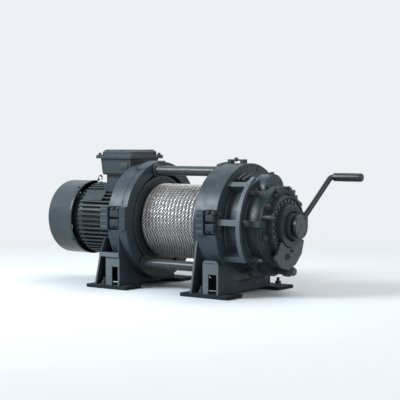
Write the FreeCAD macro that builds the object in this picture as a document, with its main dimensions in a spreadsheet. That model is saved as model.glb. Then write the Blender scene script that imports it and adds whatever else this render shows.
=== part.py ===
import FreeCAD, Part
import os
import re
import Sketcher

# Electric winch, in millimetres.
# X runs along the drum from the motor to the hand crank, Y from front to back, Z up.
# The origin lies on the floor, at the centre of the four foot holes under the leg arches.

SIZES = {
    # height of the rings above the floor, and clearances
    "ring_lift": 26,
    "seat_gap": 0.3,
    "running_fit": 0.05,
    "rotor_gap": 5,
    # drum and its rope
    "drum_length": 296,
    "drum_radius": 115,
    "flange_radius": 158,
    "flange_thickness": 14,
    "shaft_radius": 35,
    "rope_pitch": 15.5,
    "rope_depth": 15,
    # ring housings at both ends of the drum
    "flange_clearance": 10,
    "ring_wall": 37,
    "ring_lap": 6,
    "left_ring_width": 83,
    "right_ring_width": 90,
    "end_wall": 20,
    # clamp lugs on the split line of the rings
    "lug_rise": 15,
    "lug_height": 80,
    "lug_reach": 8,
    "lug_sink": 15,
    "lug_pocket": 22,
    "lug_overhang": 26,
    "right_lug_width": 71,
    "left_bay_start": 6,
    "left_bay_width": 51,
    "right_bay_start": 46,
    # legs
    "left_leg_reach": 60,
    "left_leg_width": 113,
    "left_leg_knee": 25,
    "left_knee_height": 125,
    "left_leg_slope": 42,
    "left_leg_top": 171,
    "right_leg_reach": 55,
    "right_leg_width": 115,
    "right_leg_slope": 29,
    "right_hole_inset": 52,
    "foot_lead": 5,
    "leg_setback": 5,
    "leg_depth": 105,
    "leg_skin": 7,
    "arch_width": 65,
    "arch_height": 110,
    "arch_depth": 4,
    "arch_round": 16,
    "panel_thickness": 9,
    "left_window_width": 30,
    "right_window_width": 36,
    "window_height": 65,
    "ledge_height": 15,
    "ledge_drop": 11,
    "ledge_lead": 4,
    "ledge_depth": 24,
    # foot plates, and the base beams under the rings
    "plate_thickness": 12,
    "left_plate_length": 176,
    "left_plate_lead": 89,
    "right_plate_length": 188,
    "right_plate_lead": 87,
    "plate_depth": 88,
    "plate_margin": 32,
    "back_plate_margin": 16,
    "plate_lap": 12,
    "hole_radius": 7,
    "hole_pitch": 75,
    "hole_setback": 22,
    "beam_rise": 21,
    "beam_joint": 24,
    "beam_back": 110,
    # tie rods between the rings
    "rod_radius": 17,
    "rod_inset": 23,
    "top_rod_angle": 103.5,
    "front_rod_angle": 232,
    "back_rod_angle": 345,
    # motor
    "cover_radius": 135,
    "cover_length": 122,
    "cover_skin": 2.5,
    "cover_bevel": 12,
    "cover_lap": 8,
    "slot_width": 7,
    "slot_inner": 34,
    "slot_length": 66,
    "slot_count": 12,
    "shield_bar": 18,
    "barrel_radius": 112,
    "barrel_length": 218,
    "fin_radius": 129,
    "fin_thickness": 4,
    "fin_count": 48,
    "fin_lead": 31,
    "bare_pad_width": 46,
    "bare_pad_length": 90,
    "bare_pad_start": 42,
    "bare_pad_angle": 41.5,
    "barrel_neck": 10,
    "motor_flange_radius": 150,
    "motor_flange_thickness": 15,
    "shield_length": 16,
    # terminal box
    "land_height": 130,
    "land_margin": 8,
    "neck_inset": 11,
    "neck_end_inset": 31,
    "neck_width": 120,
    "neck_height": 36,
    "box_length": 137,
    "box_width": 160,
    "box_height": 52,
    "box_taper": 4,
    "box_clearance": 2,
    "lid_overhang": 14,
    "lid_side_overhang": 10,
    "lid_thickness": 12,
    "lid_rise": 20,
    "lid_inset": 17,
    "lid_chamfer": 8,
    # lifting eye of the motor
    "eye_ring": 10,
    "eye_wire": 4,
    "eye_from_end": 29,
    "eye_collar": 9,
    "eye_collar_height": 5,
    "eye_boss": 12,
    # lifting bar on the right ring
    "bar_length": 65,
    "bar_width": 22,
    "bar_thickness": 5,
    "bar_post": 14,
    "bar_height": 13,
    "bar_setback": 22,
    "post_root": 10,
    # gear case
    "case_radius": 160,
    "case_length": 63,
    "cage_radius": 190,
    "cage_thickness": 11,
    "cage_gap": 5,
    "cage_width": 15,
    "rib_width": 20,
    "rib_root": 20,
    "band_top_angle": 121,
    "top_rib_angle": 133,
    "middle_rib_angle": 175,
    "low_rib_angle": 213.7,
    "neck_rib_reach": 152,
    "neck_case_radius": 131,
    "neck_case_length": 52,
    "lobe_half_width": 60,
    "lobe_rise": 9,
    "lobe_thickness": 32,
    "lobe_root": 15,
    "plug_radius": 14,
    "plug_length": 44,
    "plug_front": 75,
    "plug_sink": 5,
    # bearing flange and toothed ring
    "bearing_radius": 130,
    "bearing_thickness": 10,
    "rim_block_step": 8,
    "ratchet_radius": 100,
    "ratchet_thickness": 25,
    "track_outer": 94,
    "track_depth": 6,
    "stud_width": 8,
    "stud_margin": 5,
    "stud_count": 24,
    # boss and collar
    "boss_radius": 70,
    "boss_length": 15,
    "boss_bore": 50,
    "boss_floor": 3,
    "collar_radius": 43,
    "collar_length": 25,
    "stub_radius": 20,
    # lower cover plate, by the side shift and the drop of its corners, and its two holes
    "cover_plate_thickness": 10,
    "cover_plate_gap": 2,
    "cover_shoulder_drop": 50,
    "cover_front_shoulder": 62,
    "cover_front": 92,
    "cover_front_drop": 104,
    "cover_chin_front": 62,
    "cover_chin_front_drop": 132,
    "cover_chin": 12,
    "cover_chin_drop": 143,
    "cover_chin_back": 30,
    "cover_chin_back_drop": 128,
    "cover_back": 66,
    "cover_back_drop": 96,
    "cover_back_shoulder": 82,
    "cover_round": 9,
    "star_radius": 12,
    "star_arm": 6,
    "star_side": 24,
    "star_drop": 99,
    "hatch_side": 4,
    "hatch_drop": 83,
    "hatch_width": 14,
    "hatch_height": 6,
    # locking knob
    "knob_radius": 16,
    "knob_length": 60,
    "knob_side": 25,
    "knob_inset": 17,
    # hand crank
    "crank_lean": 36.4,
    "crank_radius": 199,
    "crank_reach": 45,
    "crank_hub_radius": 40,
    "crank_hub_length": 10,
    "crank_neck_radius": 30,
    "crank_neck_length": 10,
    "arm_radius": 9,
    "arm_root": 34,
    "arm_straight": 11,
    "spindle_radius": 6,
    "grip_radius": 14.5,
    "grip_length": 106,
    "grip_end": 10,
    "grip_gap": 1,
}

# Places that follow from the sizes.
PLACES = {
    "ring_bore": "flange_radius + flange_clearance",
    "ring_radius": "ring_bore + ring_wall",
    "axis_height": "ring_lift + ring_radius",
    "lug_root": "ring_radius - lug_sink",
    "leg_front": "ring_radius - leg_setback",
    "hole_row": "leg_front - hole_setback",
    "rod_circle": "ring_radius - rod_inset",
    "beam_top": "ring_lift + beam_rise",
    "drum_start": "0 - (drum_length + right_ring_width - left_ring_width - right_hole_inset - foot_lead) / 2",
    "drum_end": "drum_start + drum_length",
    "left_ring_end": "drum_start + ring_lap",
    "left_ring_start": "left_ring_end - left_ring_width",
    "right_ring_start": "drum_end - ring_lap",
    "right_ring_end": "right_ring_start + right_ring_width",
    "left_hole": "left_ring_start - foot_lead",
    "right_hole": "right_ring_end - right_hole_inset",
    "split_height": "axis_height + lug_rise",
    "lug_bottom": "split_height - lug_height / 2",
    "barrel_end": "left_ring_start - motor_flange_thickness - barrel_neck",
    "barrel_start": "barrel_end - barrel_length",
    "cover_rim": "barrel_start + cover_lap",
    "cover_start": "cover_rim - cover_length",
    "box_end": "left_ring_start - box_clearance",
    "neck_start": "box_end - box_length + neck_inset",
    "neck_length": "box_length - neck_inset - neck_end_inset",
    "neck_bottom": "axis_height + land_height",
    "box_bottom": "neck_bottom + neck_height",
    "lid_bottom": "box_bottom + box_height",
    "lid_top": "lid_bottom + lid_thickness",
    "case_end": "right_ring_end + case_length",
    "lobe_reach": "case_radius + lobe_rise",
    "plug_drop": "case_radius - plug_sink",
    "knob_drop": "lobe_reach - knob_inset",
    "cage_end": "case_end + cage_gap + cage_width",
    "neck_case_end": "case_end + neck_case_length",
    "bearing_end": "neck_case_end + bearing_thickness",
    "ratchet_start": "bearing_end",
    "ratchet_end": "ratchet_start + ratchet_thickness",
    "boss_end": "ratchet_end + boss_length",
    "collar_start": "ratchet_end + boss_floor",
    "collar_end": "collar_start + collar_length",
    "crank_start": "collar_end + 2",
    "crank_hub_start": "crank_start + crank_neck_length",
    "crank_hub_end": "crank_hub_start + crank_hub_length",
    "elbow": "crank_hub_start + crank_hub_length / 2 + crank_reach",
    "spindle_start": "elbow + arm_straight",
}

doc = FreeCAD.newDocument("ElectricWinch")
sheet = doc.addObject("Spreadsheet::Sheet", "Sizes")
for row, (alias, size) in enumerate(SIZES.items(), start=1):
    sheet.set("A%d" % row, alias)
    sheet.set("B%d" % row, str(size))
    sheet.setAlias("B%d" % row, alias)
doc.recompute()

nodes = []


# Formulas and bindings


def formula(text):
    """Writes a formula of named sizes and places as a spreadsheet expression."""
    def replace(match):
        word = match.group(0)
        if word in PLACES:
            return "(" + formula(PLACES[word]) + ")"
        if word in SIZES:
            return "Sizes." + word
        return word
    return re.sub(r"[a-z_]+", replace, str(text))


def value(text):
    return float(sheet.evalExpression(formula(text)))


def bind(thing, name, text):
    thing.setExpression(name, formula(text))


def place(thing, x="0", y="0", z="0", rotation=None):
    if rotation:
        thing.Placement.Rotation = rotation
    bind(thing, "Placement.Base.x", x)
    bind(thing, "Placement.Base.y", y)
    bind(thing, "Placement.Base.z", z)


def node(thing, label):
    """Names a finished sub-part and puts it on the list of files to write."""
    thing.Label = label
    nodes.append(thing)
    return thing


# Part primitives and booleans

ALONG_X = FreeCAD.Rotation(FreeCAD.Vector(0, 1, 0), 90)
ALONG_Y = FreeCAD.Rotation(FreeCAD.Vector(1, 0, 0), -90)


def box(name, x, y, z, length, width, height):
    made = doc.addObject("Part::Box", name)
    bind(made, "Length", length)
    bind(made, "Width", width)
    bind(made, "Height", height)
    place(made, x, y, z)
    return made


def cylinder(name, radius, length, x="0", y="0", z="0", rotation=None):
    made = doc.addObject("Part::Cylinder", name)
    bind(made, "Radius", radius)
    bind(made, "Height", length)
    place(made, x, y, z, rotation)
    return made


def prism(name, sides, radius, length, x, y, z, rotation=None):
    """A bar with a regular polygon as its section."""
    made = doc.addObject("Part::Prism", name)
    made.Polygon = sides
    bind(made, "Circumradius", radius)
    bind(made, "Height", length)
    place(made, x, y, z, rotation)
    return made


def axial(name, radius, start, end):
    """A cylinder round the drum axis."""
    return cylinder(name, radius, "(%s) - (%s)" % (end, start), start, "0", "axis_height", ALONG_X)


def turned_about_axis(thing, angle):
    """Turns a finished piece about the drum axis, which it is modelled on, at Z = 0."""
    thing.Placement.Rotation = FreeCAD.Rotation(FreeCAD.Vector(1, 0, 0), 0)
    bind(thing, "Placement.Rotation.Axis.x", "1")
    bind(thing, "Placement.Rotation.Axis.y", "0")
    bind(thing, "Placement.Rotation.Axis.z", "0")
    bind(thing, "Placement.Rotation.Angle", angle)
    bind(thing, "Placement.Base.z", "axis_height")
    return thing


def fuse(name, shapes):
    made = doc.addObject("Part::MultiFuse", name)
    made.Shapes = shapes
    made.Refine = True
    return made


def cut(name, base, tool):
    made = doc.addObject("Part::Cut", name)
    made.Base = base
    made.Tool = tool
    made.Refine = True
    return made


def common(name, first, second):
    made = doc.addObject("Part::MultiCommon", name)
    made.Shapes = [first, second]
    made.Refine = True
    return made


def mirrored_to_back(name, source):
    made = doc.addObject("Part::Mirroring", name)
    made.Source = source
    made.Normal = FreeCAD.Vector(0, 1, 0)
    return made


# Bodies, sketches and their features


def new_body(name, on_axis=False):
    made = doc.addObject("PartDesign::Body", name)
    if on_axis:
        bind(made, "Placement.Base.z", "axis_height")
    return made


def origin_feature(body, role):
    return next(item for item in body.Origin.OriginFeatures if item.Role == role)


def sketch(body, name, plane, offset="0"):
    made = body.newObject("Sketcher::SketchObject", name)
    made.AttachmentSupport = [(origin_feature(body, plane), "")]
    made.MapMode = "FlatFace"
    bind(made, "AttachmentOffset.Base.z", offset)
    return made


def fix(drawing, axis, geometry, point, text):
    """Holds one coordinate of a sketch point at a formula's value."""
    size = value(text)
    if abs(size) < 1e-9:
        line = -2 if axis == "X" else -1
        drawing.addConstraint(Sketcher.Constraint("PointOnObject", geometry, point, line))
        return
    index = drawing.addConstraint(Sketcher.Constraint("Distance" + axis, geometry, point, size))
    bind(drawing, "Constraints[%d]" % index, text)


def outline(drawing, points):
    """Draws a closed outline of straight lines through points given as formulas."""
    corners = [FreeCAD.Vector(value(x), value(y), 0) for x, y in points]
    first = drawing.GeometryCount
    count = len(points)
    for index in range(count):
        drawing.addGeometry(Part.LineSegment(corners[index], corners[(index + 1) % count]))
    for index in range(count):
        after = first + (index + 1) % count
        drawing.addConstraint(Sketcher.Constraint("Coincident", first + index, 2, after, 1))
    for index, (x, y) in enumerate(points):
        fix(drawing, "X", first + index, 1, x)
        fix(drawing, "Y", first + index, 1, y)


def rectangle(drawing, left, right, low, high):
    outline(drawing, [(left, low), (right, low), (right, high), (left, high)])


def circle(drawing, x, y, radius):
    centre = FreeCAD.Vector(value(x), value(y), 0)
    shape = Part.Circle(centre, FreeCAD.Vector(0, 0, 1), value(radius))
    index = drawing.addGeometry(shape)
    fix(drawing, "X", index, 3, x)
    fix(drawing, "Y", index, 3, y)
    size = drawing.addConstraint(Sketcher.Constraint("Radius", index, value(radius)))
    bind(drawing, "Constraints[%d]" % size, radius)


def pad(body, name, drawing, length, towards_back=False, both_sides=False):
    made = body.newObject("PartDesign::Pad", name)
    made.Profile = drawing
    made.Reversed = towards_back
    made.Midplane = both_sides
    bind(made, "Length", length)
    return made


def pocket(body, name, drawing, length, along_normal=False):
    made = body.newObject("PartDesign::Pocket", name)
    made.Profile = drawing
    made.Reversed = along_normal
    bind(made, "Length", length)
    return made


def revolution(body, name, drawing):
    made = body.newObject("PartDesign::Revolution", name)
    made.Profile = drawing
    made.ReferenceAxis = (drawing, ["H_Axis"])
    made.Angle = 360
    return made


def around_axis(body, name, features, count):
    made = body.newObject("PartDesign::PolarPattern", name)
    made.Originals = features
    made.Axis = (origin_feature(body, "X_Axis"), [""])
    made.Angle = 360
    bind(made, "Occurrences", count)
    body.Tip = made
    return made


def rounded(body, name, feature, chosen, radius):
    """Rounds the edges of a feature that a test picks out."""
    doc.recompute()
    edges = ["Edge%d" % (i + 1) for i, edge in enumerate(feature.Shape.Edges) if chosen(edge)]
    made = body.newObject("PartDesign::Fillet", name)
    made.Base = (feature, edges)
    bind(made, "Radius", radius)
    return made


def chamfered(body, name, feature, chosen, size):
    """Bevels the edges of a feature that a test picks out."""
    doc.recompute()
    edges = ["Edge%d" % (i + 1) for i, edge in enumerate(feature.Shape.Edges) if chosen(edge)]
    made = body.newObject("PartDesign::Chamfer", name)
    made.Base = (feature, edges)
    bind(made, "Size", size)
    return made


def revolved(name, points):
    """A body turned about the drum axis from an outline of (X, radius) points."""
    body = new_body(name, on_axis=True)
    drawing = sketch(body, name + "_profile", "XZ_Plane")
    outline(drawing, points)
    revolution(body, name + "_turn", drawing)
    return body


def near(first, second, slack=0.01):
    return abs(first - second) < slack


# Motor


def make_fan_cover():
    body = new_body("fan_cover", on_axis=True)
    profile = sketch(body, "fan_cover_profile", "XZ_Plane")
    outline(profile, [
        ("cover_rim", "cover_radius - cover_skin"),
        ("cover_rim", "cover_radius"),
        ("cover_start + cover_bevel", "cover_radius"),
        ("cover_start", "cover_radius - cover_bevel"),
        ("cover_start", "0"),
        ("cover_start + cover_skin", "0"),
        ("cover_start + cover_skin", "cover_radius - cover_bevel"),
        ("cover_start + cover_bevel", "cover_radius - cover_skin"),
    ])
    revolution(body, "fan_cover_shell", profile)
    slots = sketch(body, "fan_cover_slots", "YZ_Plane", "cover_start - 1")
    rectangle(slots, "0 - slot_width / 2", "slot_width / 2", "slot_inner", "slot_inner + slot_length")
    opening = pocket(body, "fan_cover_slot", slots, "cover_skin + 2", along_normal=True)
    around_axis(body, "fan_cover_grille", [opening], "slot_count")
    node(body, "motor_fan_cover")


def make_motor_shield():
    """Rear end shield, with four lugs that carry the fan cover."""
    shield = axial("shield_disc", "barrel_radius - 4", "barrel_start - shield_length", "barrel_start")
    reach = "2 * (cover_radius - cover_skin - seat_gap)"
    bars = []
    for index, angle in enumerate((45, 135)):
        bar = box("shield_bar_%d" % index, "0", "0", "0", "shield_length - 2", reach,
                  "shield_bar")
        turn = FreeCAD.Rotation(FreeCAD.Vector(1, 0, 0), angle)
        bar.Placement.Rotation = turn
        across = "(cover_radius - cover_skin - seat_gap)"
        side = turn.multVec(FreeCAD.Vector(0, 1, 0))
        up = turn.multVec(FreeCAD.Vector(0, 0, 1))
        bind(bar, "Placement.Base.x", "barrel_start - shield_length")
        bind(bar, "Placement.Base.y", "0 - %s * (%f) - shield_bar / 2 * (%f)" % (across, side.y, up.y))
        bind(bar, "Placement.Base.z", "axis_height - %s * (%f) - shield_bar / 2 * (%f)" % (across, side.z, up.z))
        bars.append(bar)
    node(fuse("shield_fused", [shield] + bars), "motor_rear_shield")


def make_motor_frame():
    """Barrel with axial cooling fins, a bare pad and a land for the terminal box."""
    body = new_body("finned_barrel", on_axis=True)
    barrel = sketch(body, "barrel_circle", "YZ_Plane", "barrel_start")
    circle(barrel, "0", "0", "barrel_radius")
    pad(body, "barrel", barrel, "barrel_length + barrel_neck")
    fin = sketch(body, "fin_outline", "YZ_Plane", "barrel_start + fin_lead")
    rectangle(fin, "0 - fin_thickness / 2", "fin_thickness / 2", "barrel_radius - 2", "fin_radius")
    one_fin = pad(body, "fin", fin, "barrel_length - fin_lead")
    around_axis(body, "fins", [one_fin], "fin_count")

    half = "neck_width / 2 + land_margin"
    land = box("terminal_land", "neck_start - land_margin", "0 - (%s)" % half,
               "axis_height", "neck_length + 2 * land_margin", "2 * (%s)" % half, "land_height")
    eye_boss = cylinder("eye_boss", "eye_boss", "fin_radius",
                        "barrel_start + eye_from_end", "0", "axis_height")
    bare = new_body("bare_pad", on_axis=True)
    face = sketch(bare, "bare_pad_outline", "YZ_Plane", "barrel_start + bare_pad_start")
    rectangle(face, "0 - bare_pad_width / 2", "bare_pad_width / 2", "barrel_radius - rib_root", "fin_radius")
    pad(bare, "bare_pad_block", face, "bare_pad_length")
    turned_about_axis(bare, "90 - bare_pad_angle")
    node(fuse("motor_frame_fused", [body, land, eye_boss, bare]), "motor_frame")


def make_motor_flange():
    node(axial("drive_end", "motor_flange_radius", "left_ring_start - motor_flange_thickness",
               "left_ring_start"), "motor_flange")


def make_terminal_box():
    neck = box("neck", "neck_start", "0 - neck_width / 2", "neck_bottom",
               "neck_length", "neck_width", "neck_height")
    node(neck, "terminal_box_neck")

    # A wedge tapers along its own Y axis, which is turned to point up here.
    body = doc.addObject("Part::Wedge", "terminal_body")
    extents = {
        "Xmin": "box_taper", "Xmax": "box_length - box_taper", "X2min": "0", "X2max": "box_length",
        "Ymin": "0", "Ymax": "box_height",
        "Zmin": "box_taper", "Zmax": "box_width - box_taper", "Z2min": "0", "Z2max": "box_width",
    }
    for name, text in extents.items():
        bind(body, name, text)
    place(body, "box_end - box_length", "box_width / 2", "box_bottom", FreeCAD.Rotation(FreeCAD.Vector(1, 0, 0), 90))
    node(body, "terminal_box_body")

    lid = new_body("terminal_lid")
    rim = sketch(lid, "lid_rim", "XY_Plane", "lid_bottom")
    low = "box_end - box_length - lid_overhang"
    high = "box_end + lid_overhang"
    side = "box_width / 2 + lid_side_overhang"
    rectangle(rim, low, high, "0 - (%s)" % side, side)
    pad(lid, "lid_plate", rim, "lid_thickness")
    top = sketch(lid, "lid_crown", "XY_Plane", "lid_top")
    rectangle(top, low + " + lid_inset", high + " - lid_inset", "lid_inset - (%s)" % side, side + " - lid_inset")
    crown = pad(lid, "lid_raised_top", top, "lid_rise")

    def crown_edge(edge):
        return near(edge.BoundBox.ZMin, value("lid_top + lid_rise")) and near(edge.BoundBox.ZLength, 0)

    chamfered(lid, "lid_bevel", crown, crown_edge, "lid_chamfer")
    node(lid, "terminal_box_lid")


def make_motor_eye():
    centre = "barrel_start + eye_from_end"
    seat = "axis_height + fin_radius"
    collar = prism("eye_foot", 6, "eye_collar", "eye_collar_height", centre, "0", seat)
    height = seat + " + eye_collar_height + eye_ring + eye_wire / 2"
    disc = prism("eye_disc", 16, "eye_ring + eye_wire", "2 * eye_wire", centre + " - eye_wire", "0", height, ALONG_X)
    hole = prism("eye_hole", 16, "eye_ring - eye_wire", "2 * eye_wire + 2", centre + " - eye_wire - 1", "0",
                 height, ALONG_X)
    node(fuse("eye_fused", [collar, cut("eye_loop", disc, hole)]), "motor_lifting_eye")


# Ring housings


def ring_band(name, start, end, wall_at_end):
    """Full ring of one housing, closed at its outer end by a wall that is bored for the drum shaft."""
    bore = "shaft_radius + running_fit"
    if wall_at_end:
        inside = [(end, bore), (end + " - end_wall", bore), (end + " - end_wall", "ring_bore"), (start, "ring_bore")]
    else:
        inside = [(end, "ring_bore"), (start + " + end_wall", "ring_bore"), (start + " + end_wall", bore), (start, bore)]
    return revolved(name, [(start, "ring_radius"), (end, "ring_radius")] + inside)


def clamp_lug(name, start, end):
    return box(name, start, "0 - ring_radius - lug_reach", "lug_bottom", "(%s) - (%s)" % (end, start),
               "ring_radius + lug_reach - lug_root", "lug_height")


def bolt_bay(name, start, end):
    """Room for the clamp bolts, cut into the front lug and the ring behind it."""
    return box(name, start, "0 - ring_radius - lug_reach - 1", "lug_bottom - 1", "(%s) - (%s)" % (end, start),
               "lug_pocket + 1", "lug_height + 2")


def make_ring_halves(side, start, end, lug, bay, wall_at_end):
    for half, low in (("lower", "split_height - 2 * ring_radius"), ("upper", "split_height")):
        name = "%s_ring_%s" % (side, half)
        band = ring_band(name + "_band", start, end, wall_at_end)
        front = clamp_lug(name + "_front_lug", *lug)
        back = mirrored_to_back(name + "_back_lug", clamp_lug(name + "_lug_copy", *lug))
        front_bay = bolt_bay(name + "_front_bay", *bay)
        back_bay = mirrored_to_back(name + "_back_bay", bolt_bay(name + "_bay_copy", *bay))
        whole = fuse(name + "_whole", [band, front, back])
        open_whole = cut(name + "_open", whole, fuse(name + "_bays", [front_bay, back_bay]))
        span = "ring_radius + lug_reach + 10"
        keep = box(name + "_keep", start + " - lug_height", "0 - (%s)" % span, low,
                   "(%s) - (%s) + 2 * lug_height" % (end, start), "2 * (%s)" % span, "2 * ring_radius")
        node(common(name + "_half", open_whole, keep), name)


def make_lifting_bar():
    """Flat bar on two posts, on top of the right ring."""
    start = "right_ring_end - bar_length - bar_setback"
    seat = "axis_height + ring_radius"
    bar = box("bar_flat", start, "0 - bar_width / 2", seat + " + bar_height - bar_thickness",
              "bar_length", "bar_width", "bar_thickness")
    posts = [
        box("bar_post_%d" % index, start + shift, "0 - bar_width / 2", seat + " - post_root",
            "bar_post", "bar_width", "bar_height - bar_thickness + post_root")
        for index, shift in enumerate(("", " + bar_length - bar_post"))
    ]
    seat_tool = axial("bar_seat", "ring_radius + 0.05", "right_ring_start", "right_ring_end + 20")
    node(cut("bar_seated", fuse("bar_fused", [bar] + posts), seat_tool), "ring_lifting_bar")


# Feet and tie rods


def leg_range(side):
    """Start and end of one leg along the drum."""
    start = "%s_hole - %s_leg_reach" % (side, side)
    return start, "%s + %s_leg_width" % (start, side)


def make_arch_panel(side, end, round_top):
    """Front panel with a raised rim above and on the crank side, and a window in its low corner."""
    body = new_body(side + "_arch")
    face = sketch(body, side + "_arch_outline", "XZ_Plane", "leg_front")
    top = "plate_thickness + arch_height"
    rectangle(face, end + " - arch_width", end, "plate_thickness", top)
    block = pad(body, side + "_arch_plate", face, "panel_thickness", towards_back=True)

    def corner(edge):
        box = edge.BoundBox
        return near(box.ZMin, value(top)) and near(box.ZLength, 0) and near(box.XLength, 0)

    if round_top:
        rounded(body, side + "_arch_round", block, corner, "arch_round")
    field = sketch(body, side + "_arch_field", "XZ_Plane", "leg_front")
    rectangle(field, end + " - arch_width - 1", end + " - leg_skin", "plate_thickness - 1", top + " - leg_skin")
    inner = pocket(body, side + "_arch_recess", field, "arch_depth")

    def inner_corner(edge):
        box = edge.BoundBox
        high = near(box.ZMin, value(top + " - leg_skin")) and near(box.ZLength, 0)
        return high and near(box.XLength, 0) and near(box.XMin, value(end + " - leg_skin"))

    if round_top:
        rounded(body, side + "_arch_inner_round", inner, inner_corner, "arch_round - leg_skin")
    window = sketch(body, side + "_window", "XZ_Plane", "leg_front")
    rectangle(window, end + " - leg_skin - %s_window_width" % side, end + " - leg_skin",
              "plate_thickness - 1", "plate_thickness + window_height")
    pocket(body, side + "_window_opening", window, "panel_thickness + 2")
    return body


def make_leg(side, seat_start, edge):
    """Front pedestal leg: two side plates and a back, open in front above its arched panel.

    The motor side of the leg leans in along an edge, given by its shifts and heights from the floor up.
    """
    start, end = leg_range(side)
    body = new_body(side + "_leg")
    shape = sketch(body, side + "_leg_outline", "XZ_Plane", "leg_front")
    corners = [(start, "plate_thickness"), (end, "plate_thickness"), (end, "lug_bottom")]
    outline(shape, corners + [("%s + %s" % (start, shift), height) for shift, height in reversed(edge)])
    pad(body, side + "_leg_block", shape, "leg_depth", towards_back=True)
    hollow = sketch(body, side + "_leg_hollow", "XZ_Plane", "leg_front + 1")
    inner = start + " + leg_skin"
    corners = [(inner, "plate_thickness - 1"), (end + " - leg_skin", "plate_thickness - 1"),
               (end + " - leg_skin", "lug_bottom + 1"), ("%s + %s" % (inner, edge[-1][0]), "lug_bottom + 1")]
    if side == "left":
        corners += [("%s + %s" % (inner, shift), height) for shift, height in reversed(edge)]
    outline(hollow, corners)
    pocket(body, side + "_leg_room", hollow, "leg_depth - leg_skin + 1")

    panel = make_arch_panel(side, end, round_top=side == "right")
    if side == "left":
        ledge_start = start + " + left_leg_knee"
        ledge = box("left_leg_ledge", ledge_start, "0 - leg_front - ledge_lead",
                    "plate_thickness + arch_height - ledge_drop", end + " - (%s)" % ledge_start,
                    "ledge_depth", "ledge_height")
        whole = fuse("left_leg_whole", [body, panel, ledge])
    else:
        low = "plate_thickness + arch_height - arch_round"
        top = box("right_leg_top", end + " - leg_skin - 1", "0 - leg_front - 1", low,
                  "leg_skin + 2", "leg_depth + 2", "lug_bottom + 1 - (%s)" % low)
        whole = fuse("right_leg_whole", [cut("right_leg_lowered", body, top), panel])
    tools = [axial(side + "_leg_seat", "ring_radius + seat_gap", seat_start + " - seat_gap", end + " + 5"),
             axial(side + "_leg_clear", "flange_radius + rotor_gap", start + " - 5", end + " + 5")]
    leg = cut(side + "_leg_cut", whole, fuse(side + "_leg_tools", tools))
    node(leg, side + "_front_leg")


def make_base_beam(side):
    """Base beam under one ring, in a front and a back length, hollowed to the round of the ring."""
    start, end = leg_range(side)
    lengths = (
        (side + "_floor_rail", "0 - (leg_front - leg_depth)", "0 - beam_joint"),
        (side + "_back_leg", "0 - beam_joint", "beam_back"),
    )
    for label, front, back in lengths:
        beam = box(label + "_block", start, front, "plate_thickness", "(%s) - (%s)" % (end, start),
                   "(%s) - (%s)" % (back, front), "beam_top - plate_thickness")
        seat = axial(label + "_seat", "ring_radius + seat_gap", start + " - 1", side + "_ring_end + seat_gap")
        node(cut(label + "_cut", beam, seat), label)


def make_foot_plate(side, end_name, inner, outer, row):
    """Foot plate with two bolt holes, between its inner and outer edges across the drum."""
    name = "%s_%s_foot_plate" % (side, end_name)
    body = new_body(name + "_body")
    shape = sketch(body, name + "_outline", "XY_Plane")
    start = "%s_hole - %s_plate_lead" % (side, side)
    rectangle(shape, start, "%s + %s_plate_length" % (start, side), inner, outer)
    circle(shape, side + "_hole", row, "hole_radius")
    circle(shape, side + "_hole + hole_pitch", row, "hole_radius")
    pad(body, name + "_pad", shape, "plate_thickness")
    node(body, name)


def make_tie_rod(label, angle):
    """Rod between the two rings."""
    body = new_body(label + "_body")
    bar = sketch(body, label + "_circle", "YZ_Plane", "left_ring_end")
    circle(bar, "0", "0", "rod_radius")
    pad(body, label + "_bar", bar, "right_ring_start - left_ring_end")
    place(body, "0", "rod_circle * cos(%s)" % angle, "axis_height + rod_circle * sin(%s)" % angle)
    node(body, label)


# Drum


def make_drum():
    """Barrel with a flange at each end, bored for its shaft."""
    left = "drum_start - flange_thickness"
    right = "drum_end + flange_thickness"
    node(revolved("drum", [
        (left, "shaft_radius"),
        (left, "flange_radius"),
        ("drum_start", "flange_radius"),
        ("drum_start", "drum_radius"),
        ("drum_end", "drum_radius"),
        ("drum_end", "flange_radius"),
        (right, "flange_radius"),
        (right, "shaft_radius"),
    ]), "rope_drum")
    node(axial("shaft_bar", "shaft_radius", "left_ring_start + 1", "right_ring_end - 1"), "drum_shaft")


def make_rope_winding():
    """One closed layer of whole rope turns, as a plain tube."""
    end = "drum_start + floor(drum_length / rope_pitch) * rope_pitch"
    node(revolved("winding", [
        ("drum_start", "drum_radius + seat_gap"),
        ("drum_start", "drum_radius + seat_gap + rope_depth"),
        (end, "drum_radius + seat_gap + rope_depth"),
        (end, "drum_radius + seat_gap"),
    ]), "rope_winding")


# Gear end


def rib(name, angle, root, reach, start, end):
    """Longitudinal rib of the gear case, on one side of the axis."""
    body = new_body(name, on_axis=True)
    shape = sketch(body, name + "_outline", "YZ_Plane", start)
    rectangle(shape, "0 - rib_width / 2", "rib_width / 2", root, reach)
    pad(body, name + "_bar", shape, "(%s) - (%s)" % (end, start))
    return turned_about_axis(body, "(%s) - 90" % angle)


def cage_band(side, first, span):
    """Curved band of the cage, from a first angle over a span."""
    sector = cylinder(side + "_band_disc", "cage_radius", "cage_width", "0", "0", "0")
    bind(sector, "Angle", span)
    hole = cylinder(side + "_band_hole", "cage_radius - cage_thickness", "cage_width + 2", "0", "0", "0 - 1")
    arc = cut(side + "_band", sector, hole)
    # The cylinder's own X axis becomes Y, and its own Y axis becomes Z.
    lie = FreeCAD.Rotation(FreeCAD.Vector(0, 1, 0), FreeCAD.Vector(0, 0, 1), FreeCAD.Vector(1, 0, 0))
    arc.Placement.Rotation = FreeCAD.Rotation(FreeCAD.Vector(1, 0, 0), value(first)).multiply(lie)
    place(arc, "case_end + cage_gap", "0", "axis_height")
    return arc


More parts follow.
